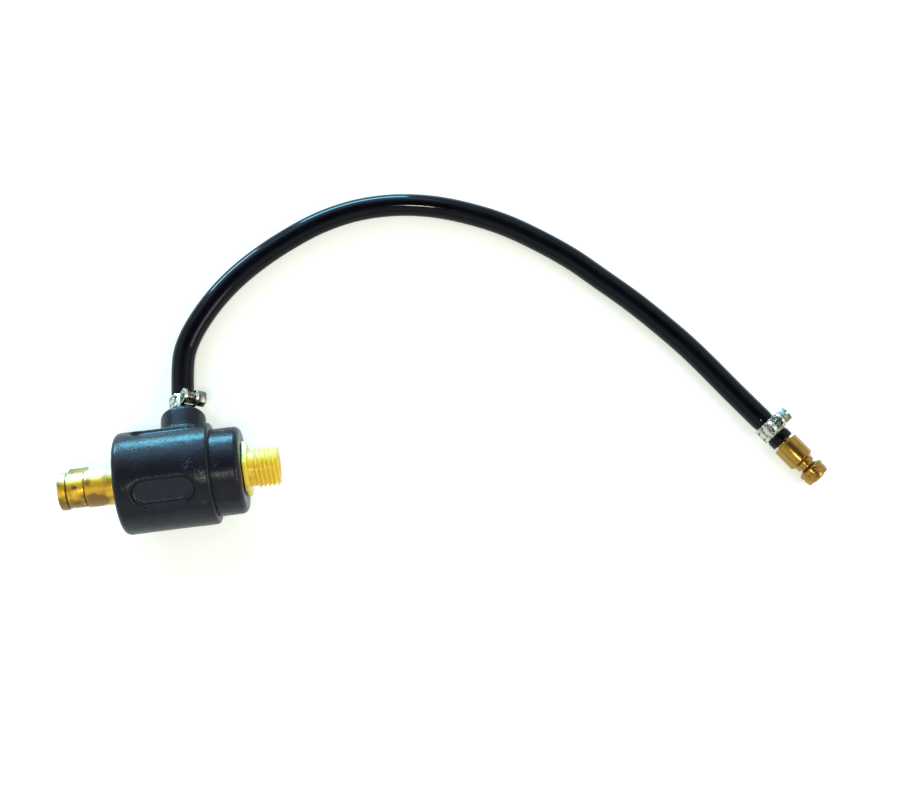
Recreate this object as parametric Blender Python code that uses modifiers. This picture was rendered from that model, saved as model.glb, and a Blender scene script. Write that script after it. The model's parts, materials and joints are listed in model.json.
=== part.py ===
"""TIG torch adaptor: a bayonet cable plug at one end, a gas-through torch stud at the other,
and a shielding-gas hose that leaves the insulated body at its side.

World frame: the origin is the centre of the bayonet pin's tip face, +X runs along the plug
axis towards the torch stud, +Z is up. The adaptor lies on a table that touches its sleeve.
Lengths are in metres and angles in radians.
"""

from math import cos, pi, radians, sin, sqrt

import bmesh
import bpy
from mathutils import Matrix, Vector

MM = 0.001

# ---------------------------------------------------------------- driving sizes
# Fits between neighbouring pieces
FIT = 0.3 * MM                      # radial clearance of a piece in its bore
SEAT = 0.2 * MM                     # gap where two faces meet
CUT = 1.0 * MM                      # how far a cutter stands out of what it cuts
NEARLY = 0.998                      # share of a length that stays just short of it

# Bayonet pin, the 13 mm pin of a 35-50 mm2 welding cable plug
PIN_DIAMETER = 13.0 * MM
PIN_REACH = 20.4 * MM               # tip face to the sleeve's end face
PIN_RING_LENGTH = 2.7 * MM
PIN_BAND_LENGTH = 6.6 * MM
PIN_BAND_DEPTH = 0.55 * MM
PIN_TIP_BEVEL = 0.6 * MM
PIN_EDGE_BEVEL = 0.25 * MM
PIN_SPIGOT_DIAMETER = 9.0 * MM
PIN_SPIGOT_LENGTH = 12.0 * MM
LUG_HEIGHT = 1.1 * MM               # above the pin's full diameter
LUG_WIDTH = 4.2 * MM
LUG_START = 2.8 * MM                # from the tip face
LUG_LEAD_LENGTH = 1.6 * MM
LUG_TOP_LENGTH = 5.5 * MM
LUG_ROOT = 0.5 * MM                 # how far it reaches into the pin
LUG_ANGLE = radians(78)             # from straight up, towards +Y

# Torch stud, M14 x 1.5 with a gas way through it
STUD_THREAD_DIAMETER = 14.0 * MM
STUD_THREAD_PITCH = 1.5 * MM
STUD_THREAD_LENGTH = 8.5 * MM
STUD_NECK_DIAMETER = 12.2 * MM
STUD_NECK_LENGTH = 1.7 * MM
STUD_HEX_ACROSS_FLATS = 17.0 * MM
STUD_HEX_THICKNESS = 1.5 * MM
STUD_HEX_ANGLE = radians(27)
STUD_END_CHAMFER = 0.9 * MM
STUD_THREAD_LEAD = 0.35 * MM        # neck to the middle of the first turn
STUD_THREAD_STOP = 0.7 * MM         # middle of the last turn to the end face
STUD_BORE_DIAMETER = 7.0 * MM
STUD_BORE_COUNTERSINK = 0.7 * MM
STUD_SPIGOT_WALL = 1.7 * MM
STUD_WASHER_THICKNESS = 0.4 * MM
STUD_SEAL_SECTION = 0.9 * MM
STUD_SEAL_FROM_BLOCK_END = 5.0 * MM

# Contact block, liner, collar and sleeve, from the inside out
BLOCK_WALL = 5.5 * MM               # round the stud's spigot
BLOCK_CHAMFER = 0.8 * MM
LINER_WALL = 1.5 * MM
SLEEVE_WALL = 4.4 * MM
SLEEVE_LENGTH = 32.6 * MM
SLEEVE_END_WALL = 2.5 * MM
SLEEVE_FRONT_ROUNDING = 2.2 * MM
SLEEVE_REAR_ROUNDING = 1.1 * MM
COLLAR_WALL = 3.7 * MM
COLLAR_LENGTH = 9.1 * MM
COLLAR_END_WALL = 2.0 * MM
COLLAR_FRONT_ROUNDING = 0.6 * MM
COLLAR_REAR_ROUNDING = 2.2 * MM

# Finger recesses in the sleeve
RECESS_COUNT = 4
RECESS_LENGTH = 21.8 * MM
RECESS_WIDTH = 9.5 * MM
RECESS_DEPTH = 2.0 * MM
RECESS_FLOOR_ROUNDING = 1.1 * MM
RECESS_OFFSET = 16.6 * MM           # sleeve's end face to the middle of a recess

# Gas boss on the sleeve
BOSS_OFFSET = 22.0 * MM             # sleeve's end face to the boss axis
BOSS_ANGLE = radians(110.5)         # from straight up, towards +Y
BOSS_HEIGHT = 6.9 * MM              # above the sleeve's surface
BOSS_WALL = 3.55 * MM
BOSS_ROUNDING = 1.2 * MM
BOSS_ROOT = 1.1 * MM                # sleeve's bore to the boss's foot, inside the wall
CHAMBER_LENGTH = 8.6 * MM           # gas chamber in the block, centred on the boss axis

# Grub screws that lock the bayonet pin and the torch stud in the block
LOCK_SCREW_DIAMETER = 4.0 * MM
LOCK_SCREW_BEVEL = 0.25 * MM
PIN_LOCK_OFFSET = 6.0 * MM          # from the block's front face
STUD_LOCK_OFFSET = 3.6 * MM         # from the gas chamber's end
LOCK_SCREW_SINK = 0.4 * MM          # below the block's surface
LOCK_SCREW_SOCKET = 2.0 * MM        # across flats
LOCK_SCREW_SOCKET_DEPTH = 1.6 * MM
LOCK_SCREW_ANGLE = radians(-20)

# Gas hose
HOSE_DIAMETER = 8.0 * MM
HOSE_SQUEEZE = 0.4 * MM             # off the radius under a clip
HOSE_FLARE = 0.2 * MM               # on the radius beyond the far clip, over the plug's tail
HOSE_CLEARANCE = 0.1 * MM           # between the hose and the table
HOSE_INSERTION = 7.4 * MM           # into the boss
HOSE_TAIL = 3.6 * MM                # beyond the far clip
HOSE_STEP = 15.0 * MM               # between the tube's own points
HOSE_TAPER = 1.0 * MM               # over which it narrows towards a clip
HOSE_END_HEADING = radians(-54.2)   # in plan, from +X
# Middle of the hose on the table, in plan, from the boss to the far end
HOSE_ROUTE = [(x * MM, y * MM) for x, y in (
    (43.9, 46.0), (46.7, 52.5), (51.4, 59.3), (57.7, 66.3), (65.5, 73.0), (74.6, 79.0), (85.0, 84.5),
    (97.0, 89.4), (110.5, 92.4), (124.6, 92.7), (138.2, 90.5), (151.0, 86.2), (163.4, 80.3),
    (174.8, 72.9), (185.6, 64.6), (195.5, 55.3), (205.3, 45.8), (214.4, 35.9), (223.0, 25.7))]
HOSE_END = (250.0 * MM, -11.5 * MM)
# Its rise from the table into the far clip: distance from its end, share of the rise
HOSE_RISE = [(24.0 * MM, 0.0), (17.0 * MM, 0.45), (11.0 * MM, 1.0)]

# Barbs in the hose: on the gas nipple and on the gas plug's tail
BARB_DIAMETER = 4.9 * MM
BARB_ROOT_DIAMETER = 4.0 * MM
BARB_PITCH = 3.2 * MM
BARB_BORE_DIAMETER = 2.4 * MM
BARB_COUNT = 3
BARB_SLOPE = 0.6                    # share of the pitch from a barb's nose to its edge
BARB_BACK = 0.05                    # share of the pitch from its edge back to the root
BARB_NOSE = 0.6 * MM

# Gas nipple's foot
NIPPLE_THREAD_DIAMETER = 6.0 * MM
NIPPLE_THREAD_LENGTH = 5.5 * MM
NIPPLE_HEX_ACROSS_FLATS = 7.0 * MM
NIPPLE_WASHER_THICKNESS = 0.4 * MM
NIPPLE_WASHER_WIDTH = 0.7 * MM
NIPPLE_SPOT_FACE_DEPTH = 0.6 * MM

# Hose clips: one set of sizes for both
CLIP_OFFSET = 4.6 * MM              # boss end to the middle of the near clip
CLIP_WIDTH = 5.4 * MM
CLIP_BAND_THICKNESS = 0.45 * MM
CLIP_BAND_FIT = 0.15 * MM
CLIP_TAIL_START = radians(44)       # where the band leaves its round, below the screw's head
CLIP_TAIL_LIFTED = radians(24)      # where it runs over its own start
CLIP_TAIL_END = radians(-218)       # back up at the other side of the housing
CLIP_INNER_START = radians(20)
CLIP_TAIL_GAP = 0.1 * MM            # between the band's two layers
CLIP_HOUSING_LENGTH = 5.2 * MM
CLIP_HOUSING_WALL = 0.7 * MM
CLIP_POST_THICKNESS = 1.0 * MM      # upright post at each end of the housing
CLIP_RAIL_HEIGHT = 1.0 * MM         # rails that join the posts, above the top of the band
CLIP_HOUSING_FOOT = 1.0 * MM        # how far its sides reach below the top of the band
CLIP_SCREW_DIAMETER = 3.5 * MM
CLIP_SCREW_ROOT_DEPTH = 0.4 * MM
CLIP_SCREW_PITCH = 1.0 * MM
CLIP_SCREW_TIP = 0.4 * MM           # beyond the housing
CLIP_SCREW_SHOWING = 0.3 * MM       # between the housing and the head, where the band leaves room
CLIP_HEAD_ACROSS_FLATS = 4.8 * MM
CLIP_HEAD_THICKNESS = 2.6 * MM
CLIP_SLOT_WIDTH = 0.8 * MM
CLIP_SLOT_DEPTH = 1.1 * MM
NEAR_CLIP_ROLL = radians(32)        # housing leans from the top towards its screw head
FAR_CLIP_ROLL = radians(8)

# Gas plug, pushed into a quick coupling
PLUG_GAP = 0.8 * MM                 # tail that shows between hose and plug
PLUG_BODY_DIAMETER = 9.5 * MM
PLUG_BODY_LENGTH = 7.5 * MM
PLUG_SHOULDER_BEVEL = 0.4 * MM
PLUG_CONE_LENGTH = 1.1 * MM
PLUG_NECK_DIAMETER = 7.0 * MM
PLUG_NECK_LENGTH = 2.0 * MM
PLUG_GROOVE_DIAMETER = 5.2 * MM
PLUG_GROOVE_LENGTH = 0.6 * MM
PLUG_FLARE_LENGTH = 1.1 * MM
PLUG_HEAD_DIAMETER = 9.3 * MM
PLUG_HEAD_LENGTH = 4.3 * MM
PLUG_HEAD_TAPER = 0.45 * MM         # off the radius at the end
PLUG_HEAD_STRAIGHT = 1.1 * MM       # before its taper
PLUG_LIP_DIAMETER = 4.4 * MM
PLUG_LIP_LENGTH = 0.4 * MM
PLUG_TAIL_DIAMETER = 5.6 * MM

# Screw threads, in shares of the pitch
THREAD_DEPTH = 0.6134               # of a metric outside thread
RIDGE_SINK = 0.16                   # how deep the ridge is rooted in the core
RIDGE_BASE = 0.43                   # half of its width there
RIDGE_CREST = 0.07                  # half of its width at the crest
RIDGE_END_DROP = 0.05               # how much deeper its two ends lie
RIDGE_FADE = 1 / 3                  # turn over which it rises at each end

# Facets
BODY_SEGMENTS = 44
BRASS_SEGMENTS = 28
SMALL_SEGMENTS = 16
FILLET_STEPS = 3
RING_SECTION_SEGMENTS = 6
CLIP_THREAD_STEPS = 12
BAND_STEP = radians(9)
ARCH_STEPS = 10

# ---------------------------------------------------------------- derived sizes
PIN_RADIUS = PIN_DIAMETER / 2
PIN_SPIGOT_RADIUS = PIN_SPIGOT_DIAMETER / 2
PIN_BORE_RADIUS = PIN_SPIGOT_RADIUS + FIT

STUD_BORE_RADIUS = STUD_BORE_DIAMETER / 2
STUD_SPIGOT_RADIUS = STUD_BORE_RADIUS + STUD_SPIGOT_WALL
STUD_HOLE_RADIUS = STUD_SPIGOT_RADIUS + FIT
STUD_CREST_RADIUS = STUD_THREAD_DIAMETER / 2
STUD_ROOT_RADIUS = STUD_CREST_RADIUS - THREAD_DEPTH * STUD_THREAD_PITCH

BLOCK_RADIUS = max(STUD_HOLE_RADIUS, PIN_BORE_RADIUS) + BLOCK_WALL
LINER_BORE_RADIUS = BLOCK_RADIUS + FIT
LINER_RADIUS = LINER_BORE_RADIUS + LINER_WALL
SLEEVE_BORE_RADIUS = LINER_RADIUS + FIT
SLEEVE_RADIUS = SLEEVE_BORE_RADIUS + SLEEVE_WALL
COLLAR_RADIUS = LINER_BORE_RADIUS + COLLAR_WALL

HOSE_RADIUS = HOSE_DIAMETER / 2
HOSE_CLAMPED_RADIUS = HOSE_RADIUS - HOSE_SQUEEZE
BOSS_BORE_RADIUS = HOSE_RADIUS + FIT
BOSS_RADIUS = BOSS_BORE_RADIUS + BOSS_WALL
BARB_RADIUS = BARB_DIAMETER / 2
BARB_ROOT_RADIUS = BARB_ROOT_DIAMETER / 2
HOSE_POCKET_RADIUS = BARB_RADIUS + FIT

# Places along the plug axis
SLEEVE_START = PIN_REACH
SLEEVE_END = SLEEVE_START + SLEEVE_LENGTH
LINER_START = SLEEVE_START + SLEEVE_END_WALL + SEAT
BLOCK_START = LINER_START + SEAT
COLLAR_START = SLEEVE_END + SEAT
COLLAR_END = COLLAR_START + COLLAR_LENGTH
BLOCK_END = COLLAR_END - COLLAR_END_WALL - SEAT
WASHER_START = COLLAR_END + SEAT
HEX_START = WASHER_START + STUD_WASHER_THICKNESS + SEAT
HEX_END = HEX_START + STUD_HEX_THICKNESS
THREAD_START = HEX_END + STUD_NECK_LENGTH
STUD_END = THREAD_START + STUD_THREAD_LENGTH
BOSS_X = SLEEVE_START + BOSS_OFFSET
CHAMBER_START = BOSS_X - CHAMBER_LENGTH / 2
CHAMBER_END = BOSS_X + CHAMBER_LENGTH / 2
STUD_START = CHAMBER_END + SEAT
PIN_LOCK_X = BLOCK_START + PIN_LOCK_OFFSET
STUD_LOCK_X = CHAMBER_END + STUD_LOCK_OFFSET

# Places along the boss axis, from the plug axis
BOSS_END = SLEEVE_RADIUS + BOSS_HEIGHT
HOSE_START = BOSS_END - HOSE_INSERTION
SPOT_FACE = BLOCK_RADIUS - NIPPLE_SPOT_FACE_DEPTH
NIPPLE_WASHER_START = SPOT_FACE + SEAT
NIPPLE_HEX_START = NIPPLE_WASHER_START + NIPPLE_WASHER_THICKNESS + SEAT
NIPPLE_HEX_END = HOSE_START - SEAT
NEAR_CLIP = BOSS_END + CLIP_OFFSET
BARB_REACH = NEAR_CLIP + CLIP_WIDTH / 2 - HOSE_START

# Clip sizes about the hose axis
BAND_INNER_RADIUS = HOSE_CLAMPED_RADIUS + CLIP_BAND_FIT
BAND_OUTER_RADIUS = BAND_INNER_RADIUS + CLIP_BAND_THICKNESS
TAIL_INNER_RADIUS = BAND_OUTER_RADIUS + CLIP_TAIL_GAP
TAIL_OUTER_RADIUS = TAIL_INNER_RADIUS + CLIP_BAND_THICKNESS
CLIP_SCREW_RADIUS = CLIP_SCREW_DIAMETER / 2
CLIP_SCREW_HEIGHT = BAND_OUTER_RADIUS + SEAT + CLIP_SCREW_RADIUS
CLIP_HOLE_RADIUS = CLIP_SCREW_RADIUS + SEAT
CLIP_HEAD_CORNER = CLIP_SCREW_HEIGHT - CLIP_HEAD_ACROSS_FLATS / sqrt(3)   # lowest point of the turning head
CLIP_HEAD_START = max(CLIP_HOUSING_LENGTH / 2 + CLIP_SCREW_SHOWING,
                      sqrt(max(0.0, (BAND_OUTER_RADIUS + SEAT) ** 2 - CLIP_HEAD_CORNER ** 2)))

# What lies on the table
TABLE = -SLEEVE_RADIUS
HOSE_HEIGHT = TABLE + HOSE_CLEARANCE + HOSE_RADIUS
HOSE_END_HEIGHT = TABLE + max(TAIL_OUTER_RADIUS, PLUG_BODY_DIAMETER / 2, PLUG_HEAD_DIAMETER / 2,
                              HOSE_RADIUS + HOSE_FLARE)


# ---------------------------------------------------------------- scene and materials
def clear_scene():
    for thing in list(bpy.data.objects):
        bpy.data.objects.remove(thing, do_unlink=True)


def new_collection(name):
    collection = bpy.data.collections.new(name)
    bpy.context.scene.collection.children.link(collection)
    return collection


def new_material(name, colour, roughness, metallic):
    material = bpy.data.materials.new(name)
    material.use_nodes = True
    shader = material.node_tree.nodes["Principled BSDF"]
    shader.inputs["Base Color"].default_value = (*colour, 1.0)
    shader.inputs["Roughness"].default_value = roughness
    shader.inputs["Metallic"].default_value = metallic
    material.diffuse_color = (*colour, 1.0)
    return material


clear_scene()
PARTS = new_collection("tig_torch_adaptor")
CUTTERS = new_collection("cutters")

RUBBER = (0.018, 0.022, 0.030)
BRASS = (0.78, 0.52, 0.11)
BRONZE = (0.52, 0.31, 0.08)
STEEL = (0.62, 0.64, 0.60)


# ---------------------------------------------------------------- modelling helpers
def place(name, mesh, collection=None, matrix=None, parent=None):
    """Link an object that holds the mesh, at a matrix given in its parent's frame."""
    item = bpy.data.objects.new(name, mesh)
    (collection or PARTS).objects.link(item)
    item.parent = parent
    if matrix is not None:
        item.matrix_basis = matrix
    if collection is CUTTERS:
        item.hide_render = True
        item.display_type = "WIRE"
    return item


def finish(item, colour, roughness, metallic, smooth_angle=35):
    item.data.materials.append(new_material(item.name, colour, roughness, metallic))
    item.data.shade_smooth()
    item.data.set_sharp_from_angle(angle=radians(smooth_angle))
    return item


def boolean(item, cutter, operation="DIFFERENCE"):
    modifier = item.modifiers.new(cutter.name, "BOOLEAN")
    modifier.operation = operation
    modifier.object = cutter
    modifier.solver = "EXACT"


def turned(name, profile, segments, closed=False, collection=None, matrix=None, parent=None):
    """Turn a profile of (radius, height) round the local Z axis.

    The profile runs down its outer side. An open one starts and ends on the axis.
    """
    mesh = bpy.data.meshes.new(name)
    points = [(radius, 0.0, height) for radius, height in profile]
    edges = [(i, i + 1) for i in range(len(points) - 1)]
    if closed:
        edges.append((len(points) - 1, 0))
    mesh.from_pydata(points, edges, [])
    item = place(name, mesh, collection, matrix, parent)
    screw = item.modifiers.new("Turn", "SCREW")
    screw.axis = "Z"
    screw.steps = segments
    screw.render_steps = segments
    screw.use_merge_vertices = True
    screw.merge_threshold = 1e-6
    screw.use_smooth_shade = True
    return item


def tube_profile(inner, outer, low, high):
    return [(inner, high), (outer, high), (outer, low), (inner, low)]


def rod_profile(radius, low, high):
    return [(0.0, high), (radius, high), (radius, low), (0.0, low)]


def fillet(radius, height, rounding, end):
    """Points of a rounded outer edge, met at the top (end=1) or the bottom (end=-1)."""
    centre = (radius - rounding, height - end * rounding)
    angles = [pi / 2 * step / FILLET_STEPS for step in range(FILLET_STEPS + 1)]
    if end > 0:
        angles = [pi / 2 - angle for angle in angles]
    return [(centre[0] + rounding * cos(a), centre[1] + end * rounding * sin(a)) for a in angles]


def cylinder(name, radius, low, high, segments, matrix, parent=None, collection=None):
    """A plain closed cylinder along the local Z axis."""
    mesh = bpy.data.meshes.new(name)
    shape = bmesh.new()
    bmesh.ops.create_cone(shape, cap_ends=True, segments=segments, radius1=radius, radius2=radius,
                          depth=high - low, matrix=Matrix.Translation((0, 0, (high + low) / 2)))
    shape.to_mesh(mesh)
    shape.free()
    return place(name, mesh, collection or CUTTERS, matrix, parent)


def hexagon(name, across_flats, low, high, angle, parent, collection=None, matrix=None):
    turn = (matrix or Matrix.Identity(4)) @ Matrix.Rotation(angle, 4, "Z")
    return cylinder(name, across_flats / sqrt(3), low, high, 6, turn, parent, collection)


def outline(name, points, thickness, matrix, parent=None, collection=None):
    """A flat closed outline in the local XY plane, thickened along Z, as a mesh object."""
    curve = bpy.data.curves.new(name + "_outline", "CURVE")
    curve.dimensions = "2D"
    curve.fill_mode = "BOTH"
    curve.extrude = thickness / 2
    spline = curve.splines.new("POLY")
    spline.points.add(len(points) - 1)
    for point, (x, y) in zip(spline.points, points):
        point.co = (x, y, 0.0, 1.0)
    spline.use_cyclic_u = True
    return curve_to_mesh_object(name, curve, matrix, parent, collection)


def curve_to_mesh_object(name, curve, matrix, parent=None, collection=None):
    guide = bpy.data.objects.new(name + "_guide", curve)
    PARTS.objects.link(guide)
    bpy.context.view_layer.update()
    evaluated = guide.evaluated_get(bpy.context.evaluated_depsgraph_get())
    mesh = bpy.data.meshes.new_from_object(evaluated)
    mesh.name = name
    bpy.data.objects.remove(guide, do_unlink=True)
    shape = bmesh.new()
    shape.from_mesh(mesh)
    bmesh.ops.remove_doubles(shape, verts=shape.verts, dist=1e-6)
    bmesh.ops.recalc_face_normals(shape, faces=shape.faces)
    shape.to_mesh(mesh)
    shape.free()
    return place(name, mesh, collection, matrix, parent)


def thread_ridge(name, root, crest, pitch, low, high, steps, matrix=None, parent=None):
    """A right-hand thread ridge round the local Z axis that sinks into the root at both ends."""
    sunk = root - pitch * RIDGE_SINK
    end_foot = sunk - pitch * RIDGE_END_DROP
    base = pitch * RIDGE_BASE
    flat = pitch * RIDGE_CREST
    count = int(round((high - low) / pitch * steps))
    fade = steps * RIDGE_FADE
    mesh = bpy.data.meshes.new(name)
    shape = bmesh.new()
    rings = []
    for i in range(count + 1):
        rise = min(1.0, i / fade, (count - i) / fade)
        top = sunk + (crest - sunk) * rise
        section = [(sunk, -base), (top, -flat), (top, flat), (sunk, base)]
        if rise == 0.0:
            section = [(end_foot, -base), (sunk, -flat), (sunk, flat), (end_foot, base)]
        angle = 2 * pi * (i + 0.5) / steps
        height = low + pitch * i / steps
        rings.append([shape.verts.new((r * cos(angle), r * sin(angle), height + z)) for r, z in section])
    for near, far in zip(rings, rings[1:]):
        for j in range(4):
            k = (j + 1) % 4
            shape.faces.new((near[j], near[k], far[k], far[j]))
    shape.faces.new(rings[0])
    shape.faces.new(list(reversed(rings[-1])))
    bmesh.ops.recalc_face_normals(shape, faces=shape.faces)
    shape.to_mesh(mesh)
    shape.free()
    return place(name, mesh, CUTTERS, matrix, parent)


def barbs(low, high):
    """Profile of the barbs down from a hose nipple's nose at high to its root at low."""
    points = [(BARB_BORE_DIAMETER / 2, high), (BARB_ROOT_RADIUS, high)]
    top = high - BARB_NOSE
    for _ in range(BARB_COUNT):
        edge = top - BARB_PITCH * BARB_SLOPE
        points += [(BARB_RADIUS, edge), (BARB_ROOT_RADIUS, edge - BARB_PITCH * BARB_BACK)]
        top -= BARB_PITCH
    return points + [(BARB_ROOT_RADIUS, low)]


def frame(origin, x_axis, y_axis):
    """Matrix of a right-handed frame from its origin and its first two axes."""
    x_axis = Vector(x_axis).normalized()
    z_axis = x_axis.cross(Vector(y_axis)).normalized()
    y_axis = z_axis.cross(x_axis)
    turn = Matrix((x_axis, y_axis, z_axis)).transposed().to_4x4()
    return Matrix.Translation(origin) @ turn


def radial(x, angle):
    """Frame on the plug axis whose Z points outwards at an angle from straight up, X along the plug."""
    outwards = Vector((0.0, sin(angle), cos(angle)))
    return frame((x, 0.0, 0.0), (1, 0, 0), outwards.cross(Vector((1, 0, 0))))


def axis_empty(name, matrix):
    empty = bpy.data.objects.new(name, None)
    PARTS.objects.link(empty)
    empty.matrix_world = matrix
    return empty


# ---------------------------------------------------------------- axes that carry the pieces
BOSS_DIRECTION = Vector((0.0, sin(BOSS_ANGLE), cos(BOSS_ANGLE)))
HOSE_END_DIRECTION = Vector((cos(HOSE_END_HEADING), sin(HOSE_END_HEADING), 0.0))
HOSE_END_POINT = Vector((*HOSE_END, HOSE_END_HEIGHT))
GAS_END_FRAME = frame(HOSE_END_POINT, (0, 0, 1), HOSE_END_DIRECTION.cross((0, 0, 1)))


def clip_frame(middle, hose_direction, up, roll):
    """Clip frame: Z along the hose, Y to the housing, X along the screw towards its head."""
    side = up.cross(hose_direction)
    housing = up * cos(roll) + side * sin(roll)
    return frame(middle, housing.cross(hose_direction), housing)


def make_axes():
    plug_axis = axis_empty("plug_axis", Matrix.Rotation(pi / 2, 4, "Y"))
    boss_axis = axis_empty("boss_axis", radial(BOSS_X, BOSS_ANGLE))
    gas_end = axis_empty("gas_end_axis", GAS_END_FRAME)
    boss_up = Vector((1, 0, 0)).cross(BOSS_DIRECTION)
    near = clip_frame(Vector((BOSS_X, 0, 0)) + BOSS_DIRECTION * NEAR_CLIP, -BOSS_DIRECTION, boss_up,
                      NEAR_CLIP_ROLL)
    far_middle = HOSE_END_POINT - HOSE_END_DIRECTION * (HOSE_TAIL + CLIP_WIDTH / 2)
    far = clip_frame(far_middle, HOSE_END_DIRECTION, Vector((0, 0, 1)), FAR_CLIP_ROLL)
    return plug_axis, boss_axis, gas_end, axis_empty("near_clip_axis", near), axis_empty("far_clip_axis", far)


# ---------------------------------------------------------------- pieces on the plug axis
def make_bayonet_pin(axis):
    ring_end = PIN_RING_LENGTH
    band_end = ring_end + PIN_BAND_LENGTH
    band = PIN_RADIUS - PIN_BAND_DEPTH
    seat = BLOCK_START - SEAT
    tip = seat + PIN_SPIGOT_LENGTH
    profile = [
        (0.0, tip), (PIN_SPIGOT_RADIUS - PIN_EDGE_BEVEL, tip), (PIN_SPIGOT_RADIUS, tip - PIN_EDGE_BEVEL),
        (PIN_SPIGOT_RADIUS, seat), (PIN_RADIUS, seat),
        (PIN_RADIUS, band_end + PIN_EDGE_BEVEL), (PIN_RADIUS - PIN_EDGE_BEVEL, band_end), (band, band_end),
        (band, ring_end), (PIN_RADIUS - PIN_EDGE_BEVEL, ring_end), (PIN_RADIUS, ring_end - PIN_EDGE_BEVEL),
        *fillet(PIN_RADIUS, 0.0, PIN_TIP_BEVEL, -1), (0.0, 0.0)]
    pin = turned("bayonet_pin", profile, BRASS_SEGMENTS, parent=axis)
    top = PIN_RADIUS + LUG_HEIGHT
    foot = band - LUG_ROOT
    lead_end = LUG_START + LUG_LEAD_LENGTH
    lug_end = lead_end + LUG_TOP_LENGTH
    side_view = [(LUG_START, foot), (lug_end, foot), (lug_end, top), (lead_end, top), (LUG_START, band)]
    outwards = Vector((0.0, sin(LUG_ANGLE), cos(LUG_ANGLE)))
    lug = outline("bayonet_lug", side_view, LUG_WIDTH, frame((0, 0, 0), (1, 0, 0), outwards),
                  collection=CUTTERS)
    boolean(pin, lug, "UNION")
    return finish(pin, BRASS, 0.32, 1.0)


def make_contact_block(axis):
    block = turned("contact_block", [
        (0.0, BLOCK_END), (BLOCK_RADIUS - BLOCK_CHAMFER, BLOCK_END),
        (BLOCK_RADIUS, BLOCK_END - BLOCK_CHAMFER),
        (BLOCK_RADIUS, BLOCK_START + BLOCK_CHAMFER), (BLOCK_RADIUS - BLOCK_CHAMFER, BLOCK_START),
        (0.0, BLOCK_START)], BRASS_SEGMENTS, parent=axis)
    pin_bore = turned("pin_bore", rod_profile(PIN_BORE_RADIUS, BLOCK_START - CUT,
                                              BLOCK_START + PIN_SPIGOT_LENGTH + FIT),
                      BRASS_SEGMENTS, collection=CUTTERS, parent=axis)
    stud_bore = turned("stud_bore", [
        (0.0, BLOCK_END + CUT), (STUD_HOLE_RADIUS, BLOCK_END + CUT), (STUD_HOLE_RADIUS, CHAMBER_END),
        (STUD_BORE_RADIUS, CHAMBER_END), (STUD_BORE_RADIUS, CHAMBER_START), (0.0, CHAMBER_START)],
        BRASS_SEGMENTS, collection=CUTTERS, parent=axis)
    port = cylinder("gas_port", NIPPLE_THREAD_DIAMETER / 2 + FIT, 0.0, BLOCK_RADIUS + CUT, SMALL_SEGMENTS,
                    radial(BOSS_X, BOSS_ANGLE))
    spot_face = cylinder("spot_face", BOSS_BORE_RADIUS, SPOT_FACE, BLOCK_RADIUS + CUT, SMALL_SEGMENTS,
                         radial(BOSS_X, BOSS_ANGLE))
    screw_holes = [cylinder("lock_screw_hole", LOCK_SCREW_DIAMETER / 2 + FIT, 0.0, BLOCK_RADIUS + CUT,
                            SMALL_SEGMENTS, radial(x, LOCK_SCREW_ANGLE)) for x in (PIN_LOCK_X, STUD_LOCK_X)]
    for cutter in (pin_bore, stud_bore, port, spot_face, *screw_holes):
        boolean(block, cutter)
    return finish(block, BRASS, 0.4, 1.0)


def make_lock_screw(name, x, low):
    """Grub screw at x whose tip stands at the wall of the bore that it reaches into."""
    high = BLOCK_RADIUS - LOCK_SCREW_SINK
    radius = LOCK_SCREW_DIAMETER / 2
    bevel = LOCK_SCREW_BEVEL
    seat = radial(x, LOCK_SCREW_ANGLE)
    screw = turned(name, [(0.0, high), (radius - bevel, high), (radius, high - bevel),
                          (radius, low + bevel), (radius - bevel, low), (0.0, low)],
                   SMALL_SEGMENTS, matrix=seat)
    socket = hexagon(name + "_socket", LOCK_SCREW_SOCKET, high - LOCK_SCREW_SOCKET_DEPTH, high + FIT, 0.0,
                     None, matrix=seat)
    boolean(screw, socket)
    return finish(screw, (0.05, 0.05, 0.055), 0.45, 1.0)


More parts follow.
